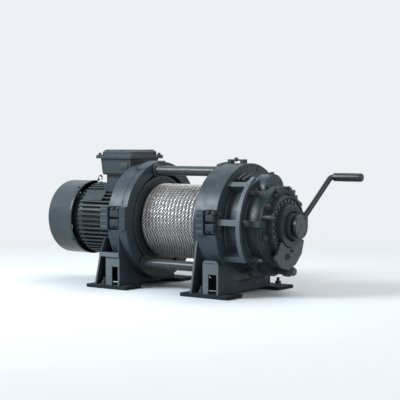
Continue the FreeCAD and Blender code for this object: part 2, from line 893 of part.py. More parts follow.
def lobes(name, start, length):
    """Round lobes above and below the drum axis."""
    centre = "(lobe_reach - lobe_half_width)"
    return [cylinder("%s_%s" % (side, name), "lobe_half_width", length, start, "0",
                     "axis_height %s %s" % (sign, centre), ALONG_X)
            for side, sign in (("upper", "+"), ("lower", "-"))]


def make_gear_case():
    """Ribbed drum-side case, whose ribs run on as bars into two curved bands."""
    parts = [axial("case_barrel", "case_radius", "right_ring_end", "case_end")]
    angles = ("top_rib_angle", "middle_rib_angle", "low_rib_angle", "180 - middle_rib_angle", "180 - low_rib_angle")
    for index, angle in enumerate(angles):
        parts.append(rib("case_rib_%d" % index, angle, "case_radius - rib_root", "cage_radius",
                         "right_ring_end", "case_end"))
        parts.append(rib("cage_bar_%d" % index, angle, "cage_radius - cage_thickness", "cage_radius",
                         "case_end", "cage_end"))
    parts.append(cage_band("front", "band_top_angle", "low_rib_angle - band_top_angle"))
    parts.append(cage_band("back", "180 - low_rib_angle", "low_rib_angle - middle_rib_angle"))
    parts += lobes("case_lobe", "case_end - lobe_root", "lobe_root")
    node(fuse("case_fused", parts), "gear_case")


def side_ribs(name, start, end):
    """One rib at the front and one at the back of the gear neck."""
    pair = (("front", "middle_rib_angle"), ("back", "180 - middle_rib_angle"))
    return [rib("%s_%s" % (side, name), angle, "neck_case_radius - rib_root", "neck_rib_reach", start, end)
            for side, angle in pair]


def make_gear_neck():
    """Smaller case behind the bearing, with a lobe above, a lobe below and a rib along each side."""
    parts = [axial("neck_barrel", "neck_case_radius", "case_end", "neck_case_end")]
    parts += lobes("neck_lobe", "case_end", "lobe_thickness")
    parts += side_ribs("neck_rib", "case_end", "neck_case_end")
    node(fuse("neck_fused", parts), "gear_neck_case")


def make_bearing_flange():
    """Flange of the crank bearing, with a block on its rim where each side rib ends."""
    parts = [axial("bearing_disc", "bearing_radius", "neck_case_end", "bearing_end")]
    parts += side_ribs("rim_block", "neck_case_end", "bearing_end + rim_block_step")
    clear = axial("rim_block_clear", "ratchet_radius + cover_plate_gap", "bearing_end", "ratchet_end")
    node(cut("bearing_cut", fuse("bearing_fused", parts), clear), "bearing_flange")


def make_ratchet_ring():
    """Disc with a row of studs in a ring-shaped track on its crank face."""
    body = new_body("ratchet", on_axis=True)
    profile = sketch(body, "ratchet_profile", "XZ_Plane")
    outline(profile, [
        ("ratchet_start", "0"),
        ("ratchet_start", "ratchet_radius"),
        ("ratchet_end", "ratchet_radius"),
        ("ratchet_end", "track_outer"),
        ("ratchet_end - track_depth", "track_outer"),
        ("ratchet_end - track_depth", "0"),
    ])
    revolution(body, "ratchet_disc", profile)
    stud = sketch(body, "stud_outline", "YZ_Plane", "ratchet_end - track_depth")
    rectangle(stud, "0 - stud_width / 2", "stud_width / 2", "boss_radius + stud_margin", "track_outer - stud_margin")
    one_stud = pad(body, "stud", stud, "track_depth - 1")
    around_axis(body, "studs", [one_stud], "stud_count")
    node(body, "toothed_ring")


def make_boss():
    """Boss round the crank shaft, with the shaft's collar in its recess."""
    node(revolved("boss", [
        ("ratchet_end - track_depth", "0"),
        ("ratchet_end - track_depth", "boss_radius"),
        ("boss_end", "boss_radius"),
        ("boss_end", "boss_bore"),
        ("collar_start", "boss_bore"),
        ("collar_start", "collar_radius"),
        ("collar_end", "collar_radius"),
        ("collar_end", "stub_radius + running_fit"),
        ("collar_start", "stub_radius + running_fit"),
        ("collar_start", "0"),
    ]), "bearing_boss")


def make_lower_cover():
    """Lobed cover plate under the boss, with a star-shaped hole."""
    body = new_body("lower_cover", on_axis=True)
    shape = sketch(body, "lower_cover_outline", "YZ_Plane", "ratchet_end")
    outline(shape, [
        ("0 - cover_front_shoulder", "0 - cover_shoulder_drop"),
        ("0 - cover_front", "0 - cover_front_drop"),
        ("0 - cover_chin_front", "0 - cover_chin_front_drop"),
        ("0 - cover_chin", "0 - cover_chin_drop"),
        ("cover_chin_back", "0 - cover_chin_back_drop"),
        ("cover_back", "0 - cover_back_drop"),
        ("cover_back_shoulder", "0 - cover_shoulder_drop"),
    ])
    plate = pad(body, "lower_cover_pad", shape, "cover_plate_thickness")

    def corner(edge):
        box = edge.BoundBox
        below = box.ZMin < value("0 - cover_shoulder_drop - 1")
        return near(box.XLength, value("cover_plate_thickness")) and below

    rounded(body, "lower_cover_round", plate, corner, "cover_round")
    tools = [axial("lower_cover_clear", "boss_radius + cover_plate_gap", "ratchet_end - 1", "boss_end")]
    for index in range(3):
        arm = box("star_arm_%d" % index, "ratchet_end - 1", "0", "0", "cover_plate_thickness + 2",
                  "2 * star_radius", "star_arm")
        turn = FreeCAD.Rotation(FreeCAD.Vector(1, 0, 0), 60 * index)
        shift = turn.multVec(FreeCAD.Vector(0, -value("star_radius"), -value("star_arm / 2")))
        arm.Placement.Rotation = turn
        bind(arm, "Placement.Base.x", "ratchet_end - 1")
        bind(arm, "Placement.Base.y", "(%f) - star_side" % shift.y)
        bind(arm, "Placement.Base.z", "axis_height - star_drop + (%f)" % shift.z)
        tools.append(arm)
    tools.append(box("cover_hatch", "ratchet_end - 1", "0 - hatch_side", "axis_height - hatch_drop",
                     "cover_plate_thickness + 2", "hatch_width", "hatch_height"))
    node(cut("lower_cover_cut", body, fuse("lower_cover_tools", tools)), "lower_cover_plate")


def make_knob():
    """Six-sided locking knob below the boss, on the lower lobe."""
    node(prism("knob", 6, "knob_radius", "knob_length", "case_end + lobe_thickness", "knob_side",
               "axis_height - knob_drop", ALONG_X), "locking_knob")


def make_oil_plug():
    plug = cylinder("plug_bar", "plug_radius", "plug_length", "case_end - plug_radius",
                    "0 - plug_front", "axis_height - plug_drop", ALONG_Y)
    case_clear = axial("plug_case_clear", "case_radius + seat_gap", "right_ring_end", "case_end")
    lobe_clear = cylinder("plug_lobe_clear", "lobe_half_width + 2 * seat_gap", "lobe_root + lobe_thickness",
                          "case_end - lobe_root - 2 * seat_gap", "0",
                          "axis_height - (lobe_reach - lobe_half_width)", ALONG_X)
    node(cut("plug_cut", plug, fuse("plug_tools", [case_clear, lobe_clear])), "oil_plug")


# Hand crank


def crank_placement(thing):
    """The crank is modelled upright and leans back about its shaft."""
    turned_about_axis(thing, "0 - crank_lean")


def make_crank():
    hub = revolved("crank_hub", [
        ("collar_start + 1", "0"),
        ("collar_start + 1", "stub_radius"),
        ("crank_start", "stub_radius"),
        ("crank_start", "crank_neck_radius"),
        ("crank_hub_start", "crank_neck_radius"),
        ("crank_hub_start", "crank_hub_radius"),
        ("crank_hub_end", "crank_hub_radius"),
        ("crank_hub_end", "0"),
    ])
    crank_placement(hub)

    arm = new_body("arm")
    route = sketch(arm, "arm_route", "XZ_Plane")
    points = [
        ("crank_hub_start + crank_hub_length / 2", "arm_root"),
        ("elbow", "crank_radius"),
        ("spindle_start", "crank_radius"),
    ]
    for first, second in zip(points, points[1:]):
        begin = FreeCAD.Vector(value(first[0]), value(first[1]), 0)
        finish = FreeCAD.Vector(value(second[0]), value(second[1]), 0)
        route.addGeometry(Part.LineSegment(begin, finish))
    route.addConstraint(Sketcher.Constraint("Coincident", 0, 2, 1, 1))
    for index, (x, y) in enumerate(points[:2]):
        fix(route, "X", index, 1, x)
        fix(route, "Y", index, 1, y)
    fix(route, "X", 1, 2, points[2][0])
    fix(route, "Y", 1, 2, points[2][1])
    section = sketch(arm, "arm_section", "YZ_Plane", "spindle_start")
    circle(section, "0", "crank_radius", "arm_radius")
    sweep = arm.newObject("PartDesign::AdditivePipe", "arm_sweep")
    sweep.Profile = section
    sweep.Spine = route
    sweep.Transition = "Right corner"
    spindle = sketch(arm, "spindle_section", "YZ_Plane", "spindle_start")
    circle(spindle, "0", "crank_radius", "spindle_radius")
    pad(arm, "spindle", spindle, "grip_length - grip_end")
    crank_placement(arm)
    node(fuse("crank_fused", [hub, arm]), "crank_arm")

    grip = new_body("grip")
    handle = sketch(grip, "grip_circle", "YZ_Plane", "spindle_start + grip_gap")
    circle(handle, "0", "crank_radius", "grip_radius")
    pad(grip, "grip_bar", handle, "grip_length")
    bore = sketch(grip, "grip_bore_circle", "YZ_Plane", "spindle_start + grip_gap - 1")
    circle(bore, "0", "crank_radius", "spindle_radius + running_fit")
    pocket(grip, "grip_bore", bore, "grip_length - grip_end + 1", along_normal=True)
    crank_placement(grip)
    node(grip, "crank_grip")


def check(things):
    """Stops when any object failed or a sub-part has no sound shape."""
    for thing in doc.Objects:
        if {"Invalid", "Error"} & set(thing.State):
            raise RuntimeError("%s failed: %s" % (thing.Label, thing.State))
    for thing in things:
        if thing.Shape.isNull() or not thing.Shape.isValid():
            raise RuntimeError("%s has no valid shape" % thing.Label)


def build():
    make_fan_cover()
    make_motor_shield()
    make_motor_frame()
    make_motor_flange()
    make_terminal_box()
    make_motor_eye()
    left_lug = ("left_ring_start - lug_overhang", "left_ring_end")
    left_bay = ("left_ring_start + left_bay_start", "left_ring_start + left_bay_start + left_bay_width")
    make_ring_halves("left", "left_ring_start", "left_ring_end", left_lug, left_bay, wall_at_end=False)
    right_lug = ("right_ring_end - right_lug_width", "right_ring_end")
    right_bay = ("right_ring_start + right_bay_start", "right_ring_end + 1")
    make_ring_halves("right", "right_ring_start", "right_ring_end", right_lug, right_bay, wall_at_end=True)
    make_lifting_bar()
    make_leg("left", "left_ring_start", [("left_leg_knee", "left_knee_height"), ("left_leg_slope", "left_leg_top")])
    make_leg("right", leg_range("right")[0], [("right_leg_slope", "lug_bottom")])
    for side in ("left", "right"):
        make_base_beam(side)
        front_edge = "hole_row + plate_margin"
        make_foot_plate(side, "front", "0 - (%s)" % front_edge, "plate_depth - (%s)" % front_edge, "0 - hole_row")
        make_foot_plate(side, "back", "beam_back - plate_lap", "hole_row + back_plate_margin", "hole_row")
    make_tie_rod("top_tie_rod", "top_rod_angle")
    make_tie_rod("front_tie_rod", "front_rod_angle")
    make_tie_rod("back_tie_rod", "back_rod_angle")
    make_drum()
    make_rope_winding()
    make_gear_case()
    make_gear_neck()
    make_bearing_flange()
    make_ratchet_ring()
    make_boss()
    make_lower_cover()
    make_knob()
    make_oil_plug()
    make_crank()
    doc.recompute()
    check(nodes)
    os.makedirs("parts", exist_ok=True)
    for thing in nodes:
        thing.Shape.exportStep("parts/%s.step" % thing.Label)
        print("%-26s %8.1f cm3" % (thing.Label, thing.Shape.Volume / 1000))


build()
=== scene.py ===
import math

import bmesh
import bpy
from mathutils import Matrix, Vector


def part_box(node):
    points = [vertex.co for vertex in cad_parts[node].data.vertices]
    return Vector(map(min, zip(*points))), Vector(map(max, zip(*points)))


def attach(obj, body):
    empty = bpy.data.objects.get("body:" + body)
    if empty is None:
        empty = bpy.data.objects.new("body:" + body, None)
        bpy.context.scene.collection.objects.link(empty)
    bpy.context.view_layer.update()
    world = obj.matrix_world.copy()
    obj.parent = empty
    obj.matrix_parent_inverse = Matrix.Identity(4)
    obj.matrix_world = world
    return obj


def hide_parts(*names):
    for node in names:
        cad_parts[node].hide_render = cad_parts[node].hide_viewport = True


# Electric winch, in metres.
# X runs along the drum from the motor to the hand crank, Y from front to back, Z up.

AXIS = Vector((0.0, 0.0, 0.231))

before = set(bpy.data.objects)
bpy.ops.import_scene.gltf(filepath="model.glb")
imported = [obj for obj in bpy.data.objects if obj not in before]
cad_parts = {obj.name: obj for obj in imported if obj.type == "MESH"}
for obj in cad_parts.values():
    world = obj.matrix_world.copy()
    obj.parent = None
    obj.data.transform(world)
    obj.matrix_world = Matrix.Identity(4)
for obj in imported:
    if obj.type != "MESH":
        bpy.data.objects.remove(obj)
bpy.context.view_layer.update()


# Shader building


class Shader:
    """A material with its node tree and a few shorthands for building it."""

    def __init__(self, name):
        self.material = bpy.data.materials.new(name)
        self.material.use_nodes = True
        self.tree = self.material.node_tree
        self.principled = self.tree.nodes["Principled BSDF"]
        self.coords = self.add("ShaderNodeTexCoord").outputs["Object"]
        self.geometry = self.add("ShaderNodeNewGeometry")

    def add(self, kind, **settings):
        made = self.tree.nodes.new(kind)
        for name, setting in settings.items():
            setattr(made, name, setting)
        return made

    def feed(self, socket, source):
        """Gives an input either a fixed value or another node's output."""
        if isinstance(source, bpy.types.NodeSocket):
            self.tree.links.new(source, socket)
        else:
            socket.default_value = source

    def noise(self, scale, detail=3.0, roughness=0.5, coords=None):
        made = self.add("ShaderNodeTexNoise")
        self.feed(made.inputs["Vector"], coords or self.coords)
        self.feed(made.inputs["Scale"], scale)
        self.feed(made.inputs["Detail"], detail)
        self.feed(made.inputs["Roughness"], roughness)
        return made.outputs["Fac"]

    def spread(self, source, low, high, to_low=0.0, to_high=1.0):
        """Maps a range of values to another one, held at its ends."""
        made = self.add("ShaderNodeMapRange")
        for index, value in enumerate((source, low, high, to_low, to_high)):
            self.feed(made.inputs[index], value)
        return made.outputs["Result"]

    def math(self, operation, first, second=0.0):
        made = self.add("ShaderNodeMath", operation=operation)
        self.feed(made.inputs[0], first)
        self.feed(made.inputs[1], second)
        return made.outputs[0]

    def blend(self, factor, first, second):
        made = self.add("ShaderNodeMix", data_type="RGBA")
        self.feed(made.inputs["Factor"], factor)
        self.feed(made.inputs[6], first)
        self.feed(made.inputs[7], second)
        return made.outputs[2]

    def bump(self, height, strength, distance, normal=None):
        made = self.add("ShaderNodeBump")
        self.feed(made.inputs["Strength"], strength)
        self.feed(made.inputs["Distance"], distance)
        self.feed(made.inputs["Height"], height)
        if normal is not None:
            self.feed(made.inputs["Normal"], normal)
        return made.outputs["Normal"]

    def rounded_normal(self, radius):
        made = self.add("ShaderNodeBevel", samples=4)
        self.feed(made.inputs["Radius"], radius)
        return made.outputs["Normal"]

    def part(self, source, axis):
        made = self.add("ShaderNodeSeparateXYZ")
        self.feed(made.inputs[0], source)
        return made.outputs[axis]

    def edge_mask(self, rounded):
        """One on edges and corners, zero on flat faces."""
        made = self.add("ShaderNodeVectorMath", operation="DOT_PRODUCT")
        self.feed(made.inputs[0], rounded)
        self.feed(made.inputs[1], self.geometry.outputs["Normal"])
        return self.spread(made.outputs["Value"], 0.99, 0.85)

    def set(self, **values):
        for name, value in values.items():
            self.feed(self.principled.inputs[name.replace("_", " ")], value)


def shade(colour, factor):
    """A colour made lighter or darker, with full opacity."""
    return tuple(min(1.0, channel * factor) for channel in colour) + (1.0,)


# Materials


def painted(name, colour, roughness=0.36, grain=0.05, edge_wear_and_highlight=0.5, edge=0.0016, gloss=0.24):
    """Semi-gloss paint over metal: slow tone changes, fine grain, dust on top and edges lightened partly by
    wear and partly by painted highlight.
    """
    s = Shader(name)
    rounded = s.rounded_normal(edge)
    slow = s.spread(s.noise(7.0, 4.0, 0.6), 0.3, 0.7)
    tone = s.blend(slow, shade(colour, 0.86), shade(colour, 1.16))
    speck = s.spread(s.noise(190.0, 5.0, 0.7), 0.35, 0.75)
    tone = s.blend(s.math("MULTIPLY", speck, 0.18), tone, shade(colour, 0.72))
    up = s.spread(s.part(s.geometry.outputs["Normal"], 2), 0.45, 1.0)
    dust = s.math("MULTIPLY", up, s.spread(s.noise(36.0, 6.0, 0.65), 0.42, 0.8, 0.0, 0.28))
    tone = s.blend(dust, tone, (0.27, 0.28, 0.28, 1.0))
    broken = s.spread(s.noise(85.0, 5.0, 0.7), 0.38, 0.62)
    # Lighter edges: partly paint worn off, partly a painted highlight where the edges catch the light.
    worn_and_highlit = s.math("MULTIPLY", s.math("MULTIPLY", s.edge_mask(rounded), broken), edge_wear_and_highlight)
    tone = s.blend(worn_and_highlit, tone, shade(colour, 3.2))
    fine = s.noise(620.0, 3.0, 0.55)
    rough = s.spread(s.noise(42.0, 4.0, 0.6), 0.3, 0.75, roughness - 0.06, roughness + 0.1)
    rough = s.math("ADD", rough, s.math("MULTIPLY", dust, 0.5))
    normal = s.bump(fine, grain, 0.0006, rounded)
    s.set(Base_Color=tone, Roughness=rough, Normal=normal, Specular_IOR_Level=gloss)
    return s.material


def bare_steel(name, colour, roughness, turned=False):
    """Machined or plated steel with fine marks, which run round the part where it is turned, and tarnish."""
    s = Shader(name)
    rounded = s.rounded_normal(0.0006)
    tarnish = s.spread(s.noise(24.0, 6.0, 0.65), 0.35, 0.8)
    tone = s.blend(tarnish, shade(colour, 1.1), shade(colour, 0.62))
    stretched = s.add("ShaderNodeMapping")
    stretched.inputs["Scale"].default_value = (1.0, 0.05, 0.05) if turned else (1.0, 1.0, 1.0)
    s.feed(stretched.inputs["Vector"], s.coords)
    marks = s.noise(900.0, 2.0, 0.5, stretched.outputs["Vector"])
    rough = s.spread(s.noise(60.0, 4.0, 0.6), 0.3, 0.7, roughness - 0.05, roughness + 0.15)
    s.set(Base_Color=tone, Roughness=rough, Metallic=1.0, Normal=s.bump(marks, 0.12, 0.0003, rounded))
    return s.material


def black_grip(name):
    """Satin black moulded plastic with a fine spark-eroded grain."""
    s = Shader(name)
    rounded = s.rounded_normal(0.0008)
    slow = s.spread(s.noise(30.0, 4.0, 0.6), 0.3, 0.7)
    tone = s.blend(slow, (0.006, 0.007, 0.008, 1.0), (0.012, 0.013, 0.014, 1.0))
    grain = s.noise(1500.0, 2.0, 0.5)
    rough = s.spread(s.noise(80.0, 4.0, 0.6), 0.3, 0.7, 0.32, 0.46)
    s.set(Base_Color=tone, Roughness=rough, Normal=s.bump(grain, 0.04, 0.0002, rounded))
    return s.material


def wire_rope(name):
    """Bright drawn wires laid round each strand; the valleys between strands are rougher and less metallic,
    and painted shade darkens the creases between wires and, near black, the valleys.
    """
    s = Shader(name)
    lay = s.add("ShaderNodeUVMap", uv_map="lay").outputs["UV"]
    along = s.part(lay, 0)
    across = s.part(lay, 1)
    phase = s.math("ADD", s.math("MULTIPLY", across, 5.0), s.math("MULTIPLY", along, -140.0))
    wires = s.math("ABSOLUTE", s.math("SINE", s.math("MULTIPLY", phase, math.pi)))
    height = s.math("POWER", wires, 0.5)
    middle = s.math("MULTIPLY", s.math("SUBTRACT", 1.0, across), across)
    ridge = s.spread(middle, 0.12, 0.215)
    tarnish = s.spread(s.noise(55.0, 5.0, 0.7), 0.35, 0.75)
    tone = s.blend(tarnish, (0.66, 0.65, 0.635, 1.0), (0.4, 0.39, 0.38, 1.0))
    # Painted shade: darker in the creases between wires and near black in the valleys between strands.
    tone = s.blend(s.spread(wires, 0.0, 0.3), (0.17, 0.165, 0.16, 1.0), tone)
    tone = s.blend(ridge, (0.012, 0.012, 0.012, 1.0), tone)
    rough = s.spread(ridge, 0.0, 1.0, 0.65, 0.36)
    metal = s.spread(ridge, 0.2, 1.0, 0.0, 0.75)
    normal = s.bump(height, 0.5, 0.0004)
    s.set(Base_Color=tone, Roughness=rough, Metallic=metal, Normal=normal, Specular_IOR_Level=0.1)
    return s.material


def dark_gap(name):
    """Near-black tone: the colour of dark joints, and painted shade put in for grooves, slots, recesses and
    holes.
    """
    s = Shader(name)
    slow = s.spread(s.noise(90.0, 5.0, 0.7), 0.3, 0.7)
    tone = s.blend(slow, (0.006, 0.007, 0.008, 1.0), (0.016, 0.018, 0.02, 1.0))
    rough = s.spread(s.noise(140.0, 3.0, 0.5), 0.3, 0.7, 0.5, 0.75)
    s.set(Base_Color=tone, Roughness=rough, Specular_IOR_Level=0.25)
    return s.material


PAINT = {
    "housing": painted("blue_grey_paint", (0.035, 0.052, 0.064), edge_wear_and_highlight=0.9, edge=0.0022),
    "motor": painted("motor_paint", (0.036, 0.051, 0.06), roughness=0.34, grain=0.06),
    "sheet": painted("sheet_metal_paint", (0.044, 0.058, 0.067), roughness=0.3, grain=0.03),
    "frame": painted("frame_paint", (0.025, 0.038, 0.049), roughness=0.5),
    "foot": painted("foot_plate_paint", (0.022, 0.031, 0.038), roughness=0.7, gloss=0.05),
    # Painted light: a much lighter tone for lit faces, the leg fronts and the outer faces of the gear case's
    # ribs and bands.
    "panel": painted("leg_panel_paint", (0.115, 0.14, 0.155), roughness=0.45, edge_wear_and_highlight=0.3),
    "rod": painted("tie_rod_paint", (0.046, 0.056, 0.062), roughness=0.28, grain=0.03),
    "drum": painted("drum_paint", (0.034, 0.043, 0.05), roughness=0.45),
    "crank": painted("crank_paint", (0.03, 0.035, 0.038), roughness=0.25, grain=0.03),
    "light": painted("lighter_paint", (0.075, 0.094, 0.106), roughness=0.4),
    "bolt": painted("bolt_paint", (0.036, 0.046, 0.052), roughness=0.34, grain=0.05, edge=0.0006),
}
STEEL = bare_steel("machined_steel", (0.42, 0.43, 0.44), 0.3, turned=True)
ZINC = bare_steel("zinc_steel", (0.62, 0.63, 0.64), 0.34)
GRIP = black_grip("black_grip")
ROPE = wire_rope("steel_rope")
GAP = dark_gap("dark_joint_and_painted_shade")

BARE_NODES = {"drum_shaft": STEEL, "motor_lifting_eye": ZINC, "crank_grip": GRIP, "rope_winding": ROPE}
PAINT_BY_WORD = (
    ("fan_cover", "sheet"),
    ("terminal_box", "sheet"),
    ("motor", "motor"),
    ("tie_rod", "rod"),
    ("rope_drum", "drum"),
    ("crank_arm", "crank"),
    ("foot_plate", "foot"),
    ("leg", "frame"),
    ("rail", "frame"),
)


def finish_of(node):
    """The finish of a CAD part, from its own entry or the first word that its name holds."""
    if node in BARE_NODES:
        return BARE_NODES[node]
    return PAINT[next((kind for word, kind in PAINT_BY_WORD if word in node), "housing")]


for name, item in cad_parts.items():
    item.data.materials.clear()
    item.data.materials.append(finish_of(name))
    item.data.polygons.foreach_set("use_smooth", [True] * len(item.data.polygons))


# Mesh building


def finished(name, mesh, finish, body="frame", replaces=None):
    """Puts a bmesh into the scene as a piece that rides on a body."""
    data = bpy.data.meshes.new(name)
    bmesh.ops.recalc_face_normals(mesh, faces=mesh.faces)
    mesh.to_mesh(data)
    mesh.free()
    made = bpy.data.objects.new(name, data)
    bpy.context.scene.collection.objects.link(made)
    data.materials.append(finish)
    data.shade_smooth()
    data.set_sharp_from_angle(angle=math.radians(32))
    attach(made, body)
    if replaces:
        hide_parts(replaces)
    return made


def on_shaft(x, radius, angle):
    """A point at a distance from the drum axis, with the angle from +Y towards +Z in degrees."""
    turn = math.radians(angle)
    return Vector((x, radius * math.cos(turn), AXIS.z + radius * math.sin(turn)))


def at(point, direction):
    """A local frame at a point, with its Z axis along a direction."""
    return Matrix.Translation(point) @ Vector(direction).to_track_quat("Z", "X").to_matrix().to_4x4()


ALONG_SHAFT = Vector((1.0, 0.0, 0.0))
UP = Vector((0.0, 0.0, 1.0))
FORWARD = Vector((0.0, -1.0, 0.0))
ON_AXIS = at(AXIS, ALONG_SHAFT)


def lathe(mesh, profile, place, sides=48, closed=False):
    """Turns (radius, height) points about the local Z axis."""
    rings = []
    for radius, height in profile:
        if radius < 1e-7:
            rings.append([mesh.verts.new(place @ Vector((0.0, 0.0, height)))])
            continue
        ring = []
        for index in range(sides):
            turn = 2.0 * math.pi * index / sides
            spot = Vector((radius * math.cos(turn), radius * math.sin(turn), height))
            ring.append(mesh.verts.new(place @ spot))
        rings.append(ring)
    pairs = list(zip(rings, rings[1:]))
    if closed:
        pairs.append((rings[-1], rings[0]))
    for first, second in pairs:
        for index in range(sides):
            after = (index + 1) % sides
            if len(first) == 1:
                mesh.faces.new((first[0], second[index], second[after]))
            elif len(second) == 1:
                mesh.faces.new((first[index], first[after], second[0]))
            else:
                mesh.faces.new((first[index], first[after], second[after], second[index]))


def rod(mesh, place, radius, length, start=0.0, bevel=0.0, sides=20):
    """Round bar from a place on, with its far edge bevelled where a bevel is given."""
    profile = [(0.0, start), (radius, start), (radius, length - bevel)]
    if bevel:
        profile.append((radius - bevel, length))
    profile.append((0.0, length))
    lathe(mesh, profile, place, sides)


def hoop(mesh, inner, outer, start, end, bevel=0.001, place=ON_AXIS, sides=96):
    """Ring of rectangular section with bevelled outer edges, about the drum axis unless placed."""
    lathe(mesh, [
        (inner, start),
        (outer - bevel, start),
        (outer, start + bevel),
        (outer, end - bevel),
        (outer - bevel, end),
        (inner, end),
    ], place, sides, closed=True)


def arc_band(mesh, start, end, inner, outer, first, last, bevel=0.001):
    """Curved bar about the drum axis, from a first angle to a last one."""
    steps = max(2, int((last - first) / 4.0))
    section = [
        (start, inner),
        (start, outer - bevel),
        (start + bevel, outer),
        (end - bevel, outer),
        (end, outer - bevel),
        (end, inner),
    ]
    rows = []
    for step in range(steps + 1):
        angle = first + (last - first) * step / steps
        rows.append([mesh.verts.new(on_shaft(x, radius, angle)) for x, radius in section])
    for near, far in zip(rows, rows[1:]):
        for index in range(len(section)):
            after = (index + 1) % len(section)
            mesh.faces.new((near[index], near[after], far[after], far[index]))
    mesh.faces.new(rows[0])
    mesh.faces.new(rows[-1])


def block(mesh, low, high, bevel=0.0012):
    """Box between two corners, with rounded edges."""
    made = bmesh.new()
    bmesh.ops.create_cube(made, size=1.0)
    low = Vector(low)
    size = Vector(high) - low
    for vert in made.verts:
        vert.co = low + Vector([size[axis] * (vert.co[axis] + 0.5) for axis in range(3)])
    bmesh.ops.bevel(made, geom=made.edges[:], offset=bevel, segments=2, profile=0.6, affect="EDGES")
    data = bpy.data.meshes.new("block")
    made.to_mesh(data)
    made.free()
    mesh.from_mesh(data)
    bpy.data.meshes.remove(data)


def plate(mesh, points, start, end):
    """Flat plate with an outline of (Y, Z) points, between two places along the drum."""
    rows = [[mesh.verts.new((x, y, z)) for y, z in points] for x in (start, end)]
    for index in range(len(points)):
        after = (index + 1) % len(points)
        mesh.faces.new((rows[0][index], rows[0][after], rows[1][after], rows[1][index]))
    for row in rows:
        mesh.faces.new(row)


def tube(mesh, route, radius, side, sides=24):
    """Round bar along a route that lies in one plane, square to the side direction."""
    rings = []
    for index, point in enumerate(route):
        along = route[min(index + 1, len(route) - 1)] - route[max(index - 1, 0)]
        across = side.cross(along).normalized()
        ring = []
        for step in range(sides):
            turn = 2.0 * math.pi * step / sides
            ring.append(mesh.verts.new(point + (side * math.cos(turn) + across * math.sin(turn)) * radius))
        rings.append(ring)
    for near, far in zip(rings, rings[1:]):
        for index in range(sides):
            after = (index + 1) % sides
            mesh.faces.new((near[index], near[after], far[after], far[index]))
    mesh.faces.new(rings[0])
    mesh.faces.new(rings[-1])


def bolt(mesh, point, direction, size, height=None, washer=True, stud=0.0):
    """Hexagonal head of a given radius on its washer, with a threaded end beyond it where one is given."""
    place = at(point, direction)
    low = 0.0
    if washer:
        low = 0.16 * size
        rod(mesh, place, 1.28 * size, low)
    top = low + (height or 0.75 * size)
    chamfer = 0.14 * size
    head = [(0.0, low), (size, low), (size, top - chamfer), (size - chamfer, top), (0.0, top)]
    lathe(mesh, head, place, 6)
    if stud:
        thread(mesh, place, 0.52 * size, top, top + stud)


def thread(mesh, place, radius, start, end, pitch=0.0022):
    """Threaded end of a bolt, as a row of ridges."""
    count = max(2, int((end - start) / pitch))
    profile = [(0.0, start)]
    for index in range(count):
        low = start + (end - start) * index / count
        high = start + (end - start) * (index + 0.5) / count
        profile += [(0.86 * radius, low), (radius, high)]
    profile += [(0.8 * radius, end), (0.0, end)]
    lathe(mesh, profile, place, 14)


def both_sides(point):
    """A point and its mirror image at the back."""
    return Vector(point), Vector((point[0], -point[1], point[2]))


def lighten(node, finish, test):
    """Gives the faces of a CAD part that pass a test another material: a lighter paint, or painted light."""
    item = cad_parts[node]
    item.data.materials.append(finish)
    slot = len(item.data.materials) - 1
    turn = item.matrix_world.to_3x3()
    for face in item.data.polygons:
        if test(item.matrix_world @ face.center, turn @ face.normal):
            face.material_index = slot


# Places of the CAD parts that the pieces sit on

COVER_LOW, COVER_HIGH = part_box("motor_fan_cover")
LID_LOW, LID_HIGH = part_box("terminal_box_lid")
BOX_LOW, BOX_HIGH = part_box("terminal_box_body")
NECK_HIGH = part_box("terminal_box_neck")[1]
LEFT_LOW, LEFT_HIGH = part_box("left_ring_lower")
RIGHT_LOW, RIGHT_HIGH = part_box("right_ring_lower")
PLATE_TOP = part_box("right_front_foot_plate")[1].z
LID_PLATE_TOP = LID_HIGH.z - 0.02
SPLIT = LEFT_HIGH.z
LUG_REACH = abs(LEFT_LOW.y)
LEFT_BAY = (-0.194, -0.143)
RIGHT_BAY = (0.213, RIGHT_HIGH.x)
CASE_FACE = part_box("gear_case")[1].x - 0.02
LOBE_FACE = CASE_FACE + 0.032
FLANGE_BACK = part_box("bearing_flange")[0].x
FLANGE_FACE = FLANGE_BACK + 0.01
TRACK_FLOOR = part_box("toothed_ring")[1].x - 0.006
COLLAR_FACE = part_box("bearing_boss")[1].x
RING_RADIUS = 0.205
COVER_RADIUS = 0.135
MARK_HEIGHT = 0.0004
ROD_CIRCLE = 0.182
ROD_ANGLES = (103.5, 232.0, 345.0)


# Motor


